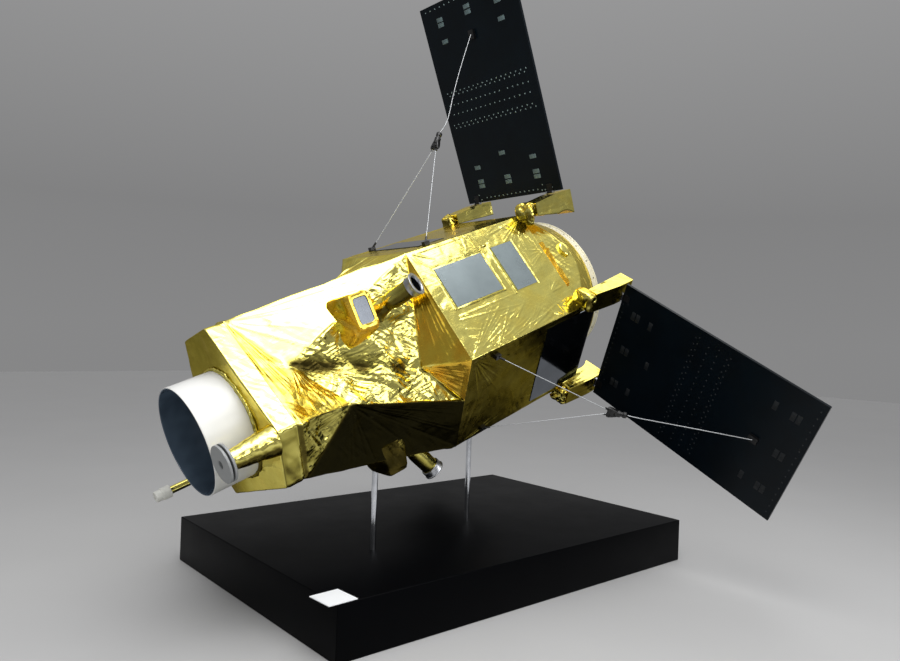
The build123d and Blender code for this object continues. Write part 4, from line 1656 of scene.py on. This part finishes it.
@dataclass
class NoseAntennas:
    """The horn with its grooved mouth and the boom with its stepped cap."""

    horn: Triple = (94.0, 315.0, 165.0)
    horn_radii: tuple[float, float] = (56.0, 32.0)
    mouth_radii: Triple = (65.0, 56.0, 13.5)
    boom: Triple = (227.0, 312.0, 210.0)
    boom_radius: float = 14.5

    def build(self, shop: Workshop) -> None:
        """Build horn, mouth, boom and cap as turned profiles.

        Args:
            shop: where the pieces are made.
        """
        bearing, out, length = self.horn
        base = polar(bearing, out, NOSE_FRONT)
        wide, narrow = self.horn_radii
        profile = [(p, wide + (narrow - wide) * p / length) for p in stretched(0, length, 2.6)]
        cone = lathe(profile, 120, base, AHEAD, FoilLook.TAUT)
        along = (cone.points - base) @ AHEAD
        outward = unit(cone.points - base - np.outer(along, AHEAD))
        lift = ease(along, 0, 8) * ease(length - along, 0, 8) * 0.04 * crumple(cone.points * 3.2, 601)
        cone.points = cone.points + outward * lift[:, None]
        cone.finish[:, 1] = 0.55
        shop.piece("horn_skin", cone, stands_for=("horn_cone",))
        r, core, hole = self.mouth_radii
        mouth = [(0, 33), (0, r - 1.5), (1.2, r), (7.8, r), (9, r - 1.2), (9, core), (16, core),
                 (16, r - 1.2), (17.2, r), (23.8, r), (25, r - 1.5), (25, hole + 5), (24.4, hole + 4),
                 (24.4, hole + 1), (24, hole), (16, hole), (16, 1)]
        base = base + AHEAD * length
        shop.piece("horn_mouth", lathe(mouth, 96, base, AHEAD), "grey_plastic", "grey_plastic",
                   stands_for=("horn_spool",), sharp=30.0)
        # A dark sleeve in the groove: painted shade.
        groove = lathe([(9.2, core + 0.6), (15.8, core + 0.6)], 96, base, AHEAD, ends=(False, False))
        shop.piece("horn_groove", groove, "dark_gap", "black_plastic")
        bearing, out, length = self.boom
        base = polar(bearing, out, NOSE_FRONT)
        profile = [(p, self.boom_radius) for p in stretched(0, length, 6.0)]
        tube = lathe(profile, 40, base, AHEAD, FoilLook.TAUT)
        shop.piece("boom_skin", tube, "polished_foil", stands_for=("boom_tube",))
        tip = [(0, 13), (0, 22.5), (1.5, 24), (32.5, 24), (34, 22.5), (34, 21), (56, 21), (58, 19), (58, 8),
               (55, 7), (55, 1)]
        shop.piece("boom_tip", lathe(tip, 56, base + AHEAD * length, AHEAD), "white_paint", "white_paint",
                   stands_for=("boom_cap",), sharp=35.0)


@dataclass
class SensorGroup:
    """A foil-wrapped box with a framed window beside a star tracker in a wrapped tube."""

    turn: float
    number: int
    bearing: float = 77.0
    ahead: float = 306.0
    across: float = 204.0
    length: float = 92.0
    width: float = 134.0
    top: float = 367.0
    root: float = 240.0
    spreads: Box = (20.0, 10.0, 60.0, 10.0)
    window: tuple[float, float] = (61.4, 99.4)
    pocket: float = 7.0
    mouth: Triple = (51.0, 513.0, -112.0)
    aim: tuple[float, float] = (64.5, 62.0)
    tube_length: float = 240.0
    tube_radius: float = 36.0
    cuff: tuple[float, float] = (52.0, 95.0)
    collar: tuple[float, float] = (42.0, 30.0)
    rim: tuple[float, float] = (45.0, 5.0)
    bore: tuple[float, float] = (31.0, 60.0)

    def ring(self, box: Box, height: float, draw: float = 0.0) -> np.ndarray:
        """One closed row of points round a rectangle with rounded corners.

        Args:
            box: x from, x to, y from, y to about the housing's middle.
            height: its height over the axis.
            draw: how far it is drawn in.

        Returns:
            Array (n, 3) in the face frame.
        """
        corners = rectangle(box, draw)
        flat = np.concatenate([between(corners[k], corners[(k + 1) % 4], 31)[:-1] for k in range(4)])
        middle = corners.mean(0)
        half = (corners[2] - corners[0]) / 2
        away = np.abs(flat - middle) / half
        pull = 0.09 * (away[:, 0] * away[:, 1]) ** 6
        flat = flat + (middle - flat) * pull[:, None] + (-self.ahead, self.across)
        return np.column_stack([flat, np.full(len(flat), height)])

    def housing(self) -> Surface:
        """The four crumpled sides, the smooth rounded frame and the pocket, in the face frame.

        Formula: rings from the root up to the top and then in towards the window; between root and
        top a ring is mixed evenly, so the sides flare towards the tent.

        Returns:
            The surface.
        """
        hole, small = ((-long / 2, long / 2, -wide / 2, wide / 2)
                       for long, wide in (self.window, (self.length, self.width)))
        flare = np.array([-1, 1, -1, 1]) * self.spreads
        rings = [self.ring(small + (1 - s) * flare, self.root + (self.top - self.root) * s)
                 for s in np.linspace(0, 0.97, 34)]
        rings += [self.ring(small, self.top - 2.0, 0.5), self.ring(small, self.top, 3.0)]
        sides = closed(np.stack(rings), FoilLook.WARM, (False, False))
        share = (sides.points[:, 2] - self.root) / (self.top - self.root)
        fade = ease(1 - share, 0.02, 0.16)
        dents = 0.32 * crumple(sides.points * 1.1 + [0, 0, 91 * self.number], 700)
        sides = sides.raised(fade * np.clip(dents - 2, -8, 4))
        # Painted shade: the boxes of the two other groups are much darker than the first.
        sides.finish[:, 0] = (0.12 if self.number else 0.845) + 0.07 * swell(sides.points, 45.0, 703)
        sides.finish[:, 1] = 0.35 + 0.3 * fade
        frame = np.stack([self.ring(small, self.top, 3.0), self.ring(small, self.top + 0.6, 9.0),
                          self.ring(hole, self.top + 0.6, -3.0), self.ring(hole, self.top, -1.0),
                          self.ring(hole, self.top - 1.0, 0.0), self.ring(hole, self.top - self.pocket, 0.0),
                          self.ring(hole, self.top - self.pocket, 6.0)])
        root = cap(sides.points[:len(rings[0])], flip=True)
        return sides + root + closed(frame, FoilLook.WARM, (False, True))

    def build(self) -> tuple[Surface, Surface, Surface, Surface]:
        """The box, the tracker's wrapped tube, its metal collar and its dark bore.

        Returns:
            The four surfaces in the satellite's frame.
        """
        box = self.housing().moved(self.on_face)
        mouth, aim, base = self.line()
        out, long = self.cuff
        r, end = self.tube_radius, self.tube_length - self.collar[1]
        profile = [(0.0, out - 12), (0.0, out),
                   *((p, r + (out - r) * (1 - p / long) ** 0.8) for p in stretched(3.0, long, 4.0)),
                   *((p, r) for p in stretched(long + 4, end, 4.0)), (end, self.collar[0] - 12)]
        tube = lathe(profile, 84, base, aim, FoilLook.TAUT, (False, False))
        along = (tube.points - base) @ aim
        rough = 0.40 * ease(130 - along, 0, 70) + 0.035
        fade = ease(along, 0, 6) * ease(end - along, 0, 8)
        tube = tube.raised(fade * np.clip(rough * crumple(tube.points * 1.5, 720), -8, 9))
        tube.finish[:, 1] = 0.1 + 0.8 * ease(130 - along, 0, 60)
        # Painted reflection: the tube is darker along its smooth stretch towards the collar.
        tube.finish[:, 0] = 0.44 - 0.14 * ease(along, 110, 190)
        (r, deep), (rim, lip), (hole, depth) = self.collar, self.rim, self.bore
        profile = [(-deep, self.tube_radius - 4), (-deep, r - 1), (1 - deep, r), (-lip - 3, r),
                   (-lip, rim - 1), (-lip + 1, rim), (-1.0, rim), (0.0, rim - 1), (0.0, hole + 3),
                   (-3.0, hole + 0.6), (-8.0, hole)]
        shell = lathe(profile, 84, mouth, aim, ends=(False, False))
        profile = [(-8.0, hole), (-30.0, hole - 0.5), (-30.0, hole - 4), (-depth + 1, hole - 6),
                   (-depth, 1.0)]
        inside = lathe(profile, 84, mouth, aim, ends=(False, True))
        return box, tube, shell, inside

    def on_face(self, points: np.ndarray) -> np.ndarray:
        """Carry points of the housing's face frame into the satellite's frame."""
        return on_bearing(points, self.bearing + self.turn)

    def line(self) -> tuple[np.ndarray, np.ndarray, np.ndarray]:
        """Mouth, direction and start of the tracker's tube."""
        tilt = math.radians(self.aim[1])
        aim = polar(self.aim[0] + self.turn, math.sin(tilt), math.cos(tilt))
        mouth = polar(self.mouth[0] + self.turn, *self.mouth[1:])
        return mouth, aim, mouth - aim * self.tube_length

    def mounts(self) -> list[np.ndarray]:
        """Middles of the foil mounds round the box's root and the tracker's foot."""
        return [self.on_face(np.array([-self.ahead, self.across - 20, self.root - 10])), self.line()[2]]


@dataclass
class Arms:
    """The box arms that carry the panels, and the foil-wrapped knobs at their feet."""

    inner: float = 215.0
    outer: float = 310.0
    start: float = 695.0
    end: float = 942.0
    top_start: float = 458.0
    top: float = 472.0
    flat: float = 100.0
    notch: Triple = (107.0, 22.0, 72.0)
    knob_place: tuple[float, float] = (674.0, 418.0)
    knob_size: Triple = (23.0, 42.0, 44.0)

    def arm(self, inner: float, depth_start: float, depth_end: float, notched: bool, salt: int) -> Surface:
        """One arm in the face frame.

        Formula: top and bottom lines as heights over x, joined by side grids; the bottom line is
        lifted where the notch's circle cuts it.

        Args:
            inner: where its width starts across the face.
            depth_start: its depth at the bus.
            depth_end: its depth at the tail.
            notched: whether the underside is cut out near the tail.
            salt: seed of its creases.

        Returns:
            The surface.
        """
        x = stretched(self.start, self.end, 5.0)
        over = self.end - self.flat
        rise = (self.top - self.top_start) * (x - self.start) / (over - self.start)
        top = np.where(x < over, self.top_start + rise, self.top)
        low = self.top_start - depth_start
        bottom = low + (self.top - depth_end - low) * (x - self.start) / (self.end - self.start)
        if notched:
            radius, depth, from_end = self.notch
            centre_x, centre_z = self.end - from_end, self.top - depth_end + depth - radius
            reach = np.clip(radius**2 - (x - centre_x) ** 2, 0, None)
            bottom = np.maximum(bottom, centre_z + np.sqrt(reach))
        y = stretched(inner, inner + self.outer - self.inner, 5.0)
        share = np.linspace(0, 1, 14)
        gx, gy = table(x, y)
        grids = [np.stack([gx, gy, np.broadcast_to(height[:, None], gx.shape)], -1)
                 for height in (top, bottom)]
        gx, gs = table(x, share)
        upright = top[:, None] * (1 - gs) + bottom[:, None] * gs
        grids += [np.stack([gx, np.full(gx.shape, level), upright], -1) for level in (y[0], y[-1])]
        gy, gs = table(y, share)
        grids += [np.stack([np.full(gy.shape, x[k]), gy, top[k] * (1 - gs) + bottom[k] * gs], -1)
                  for k in (0, -1)]
        sheets = []
        middle = np.concatenate([points.reshape(-1, 3) for points in grids]).mean(0)
        for number, points in enumerate(grids):
            counts = [np.arange(n) for n in points.shape[:2]]
            rim = np.minimum.outer(*(np.minimum(count, count[::-1]) for count in counts))
            flat = points.reshape(-1, 3)
            streaks, dents = 0.9 * swell(flat * [0.05, 1, 1], 8.0, salt), 0.09 * crumple(flat, 820)
            lift = ease(rim.ravel(), 0, 3) * (streaks + dents)
            towards = grid_normals(points).reshape(-1, 3)
            flip = float((towards * (flat - middle)).sum()) < 0
            normal = -towards if flip else towards
            look = FoilLook.ORANGE if number == 1 else FoilLook.TAUT
            sheets.append(grid((flat + normal * lift[:, None]).reshape(points.shape), look, flip=flip))
        return joined(sheets)

    def knob(self, inner: float, salt: int) -> Surface:
        """One ball of crumpled foil where an arm meets the bus, in the face frame.

        Formula: a rounded box as a ball with its directions pressed to a power, then crumpled.

        Args:
            inner: where the arm's width starts.
            salt: seed of its creases.

        Returns:
            The surface.
        """
        lon = np.linspace(0, 2 * math.pi, 84, endpoint=False)
        lat, lon = table(np.linspace(0.04, math.pi - 0.04, 44), lon)
        ball = np.stack([np.sin(lat) * np.cos(lon), np.sin(lat) * np.sin(lon), np.cos(lat)], -1)
        boxy = np.sign(ball) * np.abs(ball) ** 0.5
        x, out = self.knob_place
        centre = np.array([x, inner + (self.outer - self.inner) / 2, out])
        points = centre + boxy * self.knob_size
        flat = points.reshape(-1, 3)
        dents = np.clip(0.55 * crumple(flat * 1.7, salt), -12, 8)
        flat = flat + unit(ball.reshape(-1, 3) * self.knob_size) * dents[:, None]
        points = flat.reshape(points.shape)
        return grid(points, FoilLook.BALL, around=True) + cap(points[0]) + cap(points[-1], flip=True)

    def build(self, shop: Workshop) -> None:
        """Build the six arms and their knobs.

        Args:
            shop: where the pieces are made.
        """
        arms, knobs = [], []
        for count, bearing in enumerate(PANEL_BEARINGS.values()):
            place = partial(on_bearing, bearing=bearing)
            for inner, depths, notched in ((-self.outer, (55.0, 108.0), True),
                                           (self.inner, (45.0, 68.0), False)):
                arms.append(self.arm(inner, *depths, notched, 810 + count).moved(place))
                knobs.append(self.knob(inner, 830 + 7 * count + notched).moved(place))
        shop.piece("arm_skins", joined(arms), stands_for=("arms",))
        shop.piece("knob_skins", joined(knobs), stands_for=("arm_knobs",), sharp=18.0)


@dataclass
class LaunchRing:
    """The pale open ring at the tail with its bolt holes."""

    radius: float = 333.0
    wall: float = 24.0
    start: float = 943.0
    length: float = 40.0
    holes: int = 24

    def build(self, shop: Workshop) -> None:
        """Build the ring as a turned profile and its holes as dark discs just proud of it.

        Args:
            shop: where the pieces are made.
        """
        r, w, n = self.radius, self.wall, self.length
        profile = [(0.0, r - w), (0.0, r - 1), (1.0, r), (8.0, r), (9.0, r - 2), (n - 10, r - 2), (n - 9, r),
                   (n - 1.5, r), (n, r - 1.5), (n, r - w + 1.5), (n - 1.5, r - w), (0.5, r - w)]
        ring = lathe(profile, 180, AFT * self.start, AFT, ends=(False, False))
        shop.piece("ring_shell", ring, "ivory_paint", "ivory_paint", stands_for=("launch_ring",), sharp=35.0)
        # Dark discs stand for the holes: painted shade of their insides.
        discs = []
        for k in range(self.holes):
            bearing = 360 / self.holes * (k + 0.5)
            outward = polar(bearing, 1.0, 0.0)
            discs.append(lathe([(-1.0, 3.6), (0.35, 3.6), (0.35, 0.4)], 14,
                               polar(bearing, r - 2, self.start + n / 2), outward))
        shop.piece("ring_holes", joined(discs), "dark_gap", "black_plastic")


@dataclass
class SolarPanel:
    """One panel: its dark front with pads and bright dots, and the cells on its back."""

    name: str
    bearing: float
    thickness: float = 12.0
    width: float = 620.0
    length: float = 957.0
    root: float = 480.0
    pads: tuple[tuple[float, float], ...] = (
        (-186, 79), (-186, 103), (-186, 172), (0, 79), (0, 103), (0, 218), (186, 79), (186, 103), (186, 172),
        (-190, 782), (-190, 858), (-190, 882), (0, 864), (0, 889), (190, 782), (190, 858), (190, 882),
    )
    rows: tuple[tuple[float, float, float, int], ...] = (
        (-264, 264, 551, 18), (-252, 250, 537, 17), (-260, -132, 493, 5), (-79, 269, 493, 12),
        (-257, 254, 448, 17), (-255, 272, 398, 18), (-272, 263, 383, 18), (-171, 172, 19, 13),
        (-273, 273, 936, 17), (-204, 224, 37, 2), (-195, 233, 12, 2), (-215, 212, 12, 2), (-259, 261, 18, 2),
    )

    def placed(self, points: np.ndarray) -> np.ndarray:
        """Carry points from the upright panel to its leaning place in the satellite's frame."""
        return on_bearing(leaned(points), self.bearing)

    def plate(self, across: float, along: float, size: tuple[float, float], level: float) -> Surface:
        """A thin rectangular pad with eased edges on the panel's front.

        Args:
            across: middle across the panel.
            along: middle along it from the root.
            size: its width across and length along.
            level: how far it stands proud.

        Returns:
            The surface.
        """
        half_a, half_l = size[0] / 2, size[1] / 2
        outline = rectangle((-half_a, half_a, -half_l, half_l))
        rings = [(outline, 0.2), (outline, -level * 0.6), (outline * 0.97, -level)]
        points = np.stack([np.column_stack([np.full(4, PANEL_FRONT + x), o + (across, self.root + along)])
                           for o, x in rings])
        return grid(points, around=True) + cap(points[-1], flip=True)

    def build(self, shop: Workshop) -> None:
        """Dress the panel and lay pads, dots and cells on it.

        Args:
            shop: where the pieces are made.
        """
        body = f"panel_{self.name}"
        shop.dress(f"solar_panel_{self.name}", "panel_navy")
        # Painted shade: the near panel gets darker copies of the pads and dots.
        dim = self.name == "near"
        pads = joined([self.plate(a, b, (40.0, 19.0), 1.0) for a, b in self.pads])
        shop.piece(f"panel_pads_{self.name}", pads.moved(self.placed), "pad_painted_shade" if dim else "pad_grey",
                   "grey_plastic", body)
        places = [(a, along) for a0, a1, along, count in self.rows for a in np.linspace(a0, a1, count)]
        dots = joined([self.plate(a, b, (5.5, 5.5), 0.8) for a, b in places])
        shop.piece(f"panel_dots_{self.name}", dots.moved(self.placed), "dot_painted_shade" if dim else "bright_dot",
                   "satin_metal", body)
        across = np.linspace(-self.width / 2 + 4, self.width / 2 - 4, 9)
        along = np.linspace(self.root + 18, self.root + self.length - 18, 13)
        ga, gl = table(across, along)
        proud, sunk = (np.stack([np.full(ga.shape, PANEL_FRONT + self.thickness + x), ga, gl], -1)
                       for x in (0.8, -0.2))
        edge = np.stack([np.concatenate([p[0], p[1:, -1], p[-1, -2::-1], p[-2:0:-1, 0]])
                         for p in (sunk, proud)])
        cells = grid(proud) + grid(edge, around=True)
        shop.piece(f"panel_cells_{self.name}", cells.moved(self.placed), "solar_cells", "panel_navy", body)
        shop.dress(f"hinge_leaves_{self.name}", "dark_metal")
        shop.dress(f"stay_fitting_{self.name}", "black_plastic")


@dataclass
class Stay:
    """The wires that hold one panel: two legs, a clamp and a pendant."""

    name: str
    bearing: float
    anchor: Triple = (140.0, 190.0, 8.0)
    clamp: Triple = (470.0, 790.0, 74.0)
    fitting_out: float = 1245.0
    fitting_height: float = 14.0
    bow: float = -5.0
    wire: float = 1.7

    def yoke(self, start: np.ndarray, aim: np.ndarray) -> Surface:
        """The black clamp: a barrel, a flat plate that widens towards the legs, and its screws.

        Formula: turned profiles along the clamp, and rings of a rectangle whose width falls
        from the legs to the barrel.

        Args:
            start: where the legs come in.
            aim: direction towards the panel.

        Returns:
            The surface in the face frame.
        """
        long = self.clamp[2]
        profile = [(18.0, 3.0), (18.0, 12.0), (20.0, 14.0), (44.0, 14.0), (46.0, 10.0), (54.0, 10.0),
                   (56.0, 13.0), (long - 6, 13.0), (long - 1, 8.0), (long, 5.0), (long, 2.0)]
        barrel = lathe(profile, 28, start, aim)
        side = np.array([0.0, 1.0, 0.0])
        over = np.cross(aim, side)
        rings = []
        for place, half, thick in ((-6.0, 20.0, 3.0), (-8.0, 23.0, 7.0), (0.0, 24.0, 9.5), (12.0, 21.0, 10.0),
                                   (30.0, 14.5, 10.0), (34.0, 13.0, 5.0)):
            corners = rectangle((-half, half, -thick, thick))
            outline, _ = rounded_outline(corners, min(half, thick) * 0.5, 12.0)
            rings.append(start + aim * place + np.outer(outline[:, 0], side) + np.outer(outline[:, 1], over))
        body = closed(np.stack(rings))
        screw = [(0.0, 4.6), (12.0, 4.6), (13.0, 3.6), (13.0, 0.4)]
        ferrule = [(0.0, 2.4), (0.0, 4.6), (16.0, 4.2), (18.0, 2.4)]
        screws = [lathe(screw, 14, start + aim * 4.0 + side * s, over * turn)
                  for s in (-11.0, 11.0) for turn in (-1, 1)]
        ferrules = [lathe(ferrule, 14, start + side * s - aim * 4, -aim + side * s / 20)
                    for s in (-10.0, 10.0)]
        return joined([barrel, body, *screws, *ferrules])

    def points(self) -> tuple[np.ndarray, np.ndarray, np.ndarray]:
        """Clamp start, clamp end and the pendant's end at the fitting, in the face frame.

        Returns:
            Three points.
        """
        start = np.array([self.clamp[0], 0.0, self.clamp[1]])
        end = leaned(np.array([[PANEL_FRONT - self.fitting_height, 0.0, self.fitting_out]]))[0]
        return start, start + unit(end - start) * self.clamp[2], end

    def build(self, shop: Workshop) -> None:
        """Build wires and clamp.

        Args:
            shop: where the pieces are made.
        """
        start, clamp_end, fitting = self.points()
        place = partial(on_bearing, bearing=self.bearing)
        wires = []
        share = np.linspace(0, 1, 40)
        place_of_bow = 0.16
        bow = share / place_of_bow * np.exp(1 - share / place_of_bow) * (1 - share)
        run = between(clamp_end, fitting, 40) + np.outer(bow, [self.bow, 0.0, 0.0])
        wires.append(tube_along(run, self.wire))
        for side in (-1, 1):
            foot = np.array([self.anchor[0], side * self.anchor[1], PANEL_OUT + self.anchor[2]])
            leg = unit(start - foot)
            eye = start - leg * 6 + [0.0, side * 6.0, 0.0]
            wires.append(tube_along(between(foot + leg * 30, eye, 12), self.wire))
        wire = shop.piece(f"wire_{self.name}", joined(wires).moved(place), "bright_wire", "bright_wire", None,
                          (f"stay_wires_{self.name}",))
        clamp = shop.piece(f"clamp_{self.name}", self.yoke(start, unit(clamp_end - start)).moved(place),
                           "black_plastic", "black_plastic", None, (f"stay_clamp_{self.name}",), 30.0)
        low, high = in_room(place(np.array([[300.0, 0.0, 600.0], [845.0, 0.0, self.fitting_out]])))
        for made in (wire, clamp):
            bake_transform(made)


@dataclass
class Plinth:
    """The satin black box under the satellite, with its card and the two rods."""

    size: Triple = (2.0, 1.35, 0.2)
    edge: float = 0.004

    def build(self, shop: Workshop) -> None:
        """Build the plinth's box with eased edges and dress card and rods.

        Args:
            shop: where the pieces are made.
        """
        length, depth, height = self.size
        box = rounded_block((-length / 2, length / 2, -depth / 2, depth / 2), 0.0, height, self.edge)
        shop.piece("plinth_box", box, "charcoal_paint", "charcoal_paint", stands_for=("plinth",), sharp=50.0,
                   room=True)
        shop.dress("plinth_card", "card_stock")
        shop.dress("support_rods", "chrome_rod")


@dataclass
class Studio:
    """Pale floor, soft lamps, plain surroundings and the camera."""

    focal: float = 743.23
    frame_width: float = 900.0
    film_width: float = 36.0
    position: Triple = (-2.3232, -2.7259, 1.0997)
    yaw: float = math.radians(49.32)
    pitch: float = math.radians(-0.09)
    roll: float = math.radians(2.06)

    def build(self) -> None:
        """Make floor, surroundings, lamps and camera."""
        self.floor()
        self.world()
        for name, place, aim, size, power in (
            ("lamp_over", (-1.5, -1.2, 4.2), (-1.1, -0.4, 1.1), (2.3, 2.9), 50.0),
            ("lamp_left", (-1.5, -2.2, 3.8), (-0.4, -0.2, 1.1), (2.6, 2.6), 62.0),
            ("lamp_right", (1.7, -0.5, 3.6), (-0.2, -0.2, 1.1), (1.5, 1.5), 9.0),
            ("lamp_mid", (0.35, -1.95, 4.2), (-0.4, -0.4, 1.3), (1.2, 1.0), 16.0),
            ("lamp_front", (0.1, -3.9, 2.3), (-0.7, -0.4, 1.2), (3.6, 1.1), 44.0),
            ("lamp_side", (-3.6, -2.9, 2.2), (-0.6, -0.2, 0.9), (1.4, 1.8), 6.0),
        ):
            data = bpy.data.lights.new(name, "AREA")
            data.shape, data.size, data.size_y, data.energy = "RECTANGLE", size[0], size[1], power
            lamp = bpy.data.objects.new(name, data)
            lamp.location = place
            lamp.rotation_mode = "QUATERNION"
            lamp.rotation_quaternion = (Vector(aim) - Vector(place)).to_track_quat("-Z", "Y")
            bpy.context.scene.collection.objects.link(lamp)
        self.camera()
        bpy.context.scene.view_settings.view_transform = "Standard"

    def floor(self) -> None:
        """A wide pale floor with a faint unevenness."""
        g = Graph("studio_floor")
        clouds = g.noise(g.place(), 1.5, 3.0)
        material = g.finish(g.mix(clouds, rgb(0.72, 0.72, 0.72), rgb(0.70, 0.70, 0.70)), 0.6)
        mesh = bpy.data.meshes.new("studio_floor")
        mesh.from_pydata([(-14, -14, 0), (14, -14, 0), (14, 14, 0), (-14, 14, 0)], [], [(0, 1, 2, 3)])
        mesh.materials.append(material)
        floor = bpy.data.objects.new("studio_floor", mesh)
        bpy.context.scene.collection.objects.link(floor)

    def world(self) -> None:
        """Plain surroundings, paler overhead and mid-grey at the horizon."""
        g = Graph("studio", "worlds")
        levels = ((0.0, 0.24), (0.15, 0.22), (0.45, 0.32), (0.74, 0.51), (0.95, 0.86))
        direction = g.node("ShaderNodeTexCoord").outputs["Generated"]
        parts = g.node("ShaderNodeSeparateXYZ", None, {0: direction})
        stops = [(height, (level, level, level * 1.01, 1.0)) for height, level in levels]
        ramp = g.node("ShaderNodeValToRGB", {"stops": stops}, {0: parts.outputs[2]})
        g.feed(g.shader.inputs[0], ramp.outputs[0])
        bpy.context.scene.world = g.owner

    def camera(self) -> None:
        """The photograph's camera, from its fitted place, direction, roll and focal length."""
        cy, sy, cp, sp = math.cos(self.yaw), math.sin(self.yaw), math.cos(self.pitch), math.sin(self.pitch)
        forward = Vector((cp * cy, cp * sy, -sp))
        level = Vector((sy, -cy, 0.0))
        upright = level.cross(forward)
        right = math.cos(self.roll) * level + math.sin(self.roll) * upright
        up = -math.sin(self.roll) * level + math.cos(self.roll) * upright
        data = bpy.data.cameras.new("camera")
        data.sensor_width = self.film_width
        data.lens = self.focal / self.frame_width * self.film_width
        data.clip_end = 200.0
        camera = bpy.data.objects.new("camera", data)
        turn = Matrix((right, up, -forward)).transposed().to_4x4()
        camera.matrix_world = Matrix.Translation(self.position) @ turn
        bpy.context.scene.collection.objects.link(camera)
        bpy.context.scene.camera = camera


def main() -> None:
    """Build every sub-assembly in order."""
    logging.basicConfig(level=logging.INFO, format="%(message)s")
    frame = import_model()
    Studio().build()
    shop = Workshop(frame, Finishes())
    nose = NoseBlock()
    nose.build(shop)
    groups = [SensorGroup(turn, k) for k, turn in enumerate((0.0, 104.0, 240.0))]
    FoilTent().build(shop, nose, [middle for group in groups for middle in group.mounts()])
    Bus().build(shop)
    TailSkirt().build(shop)
    Telescope().build(shop)
    NoseAntennas().build(shop)
    parts = [list(group.build()) for group in groups]
    for name, finish, slot, node, sharp in (
        ("sensor_skins", *GOLD, "sensor_boxes", 28.0),
        ("tracker_skins", *GOLD, "tracker_tubes", 28.0),
        ("tracker_rims", "satin_metal", "satin_metal", "tracker_collars", 35.0),
        ("tracker_bores", "bore_black", "black_plastic", "", 35.0),
    ):
        surface = joined([part.pop(0) for part in parts])
        shop.piece(name, surface, finish, slot, stands_for=(node,) if node else (), sharp=sharp)
    shop.dress("sensor_windows", "window_mirror")
    Arms().build(shop)
    LaunchRing().build(shop)
    shop.dress("hinge_brackets", "satin_metal")
    shop.dress("stay_anchors", "black_plastic")
    for name, bearing in PANEL_BEARINGS.items():
        SolarPanel(name, bearing).build(shop)
        Stay(name, bearing, bow=28.0 if name == "top" else -4.0).build(shop)
    Plinth().build(shop)
    LOG.info("pieces made: %d", len(shop.made))


if __name__ == "__main__":
    main()
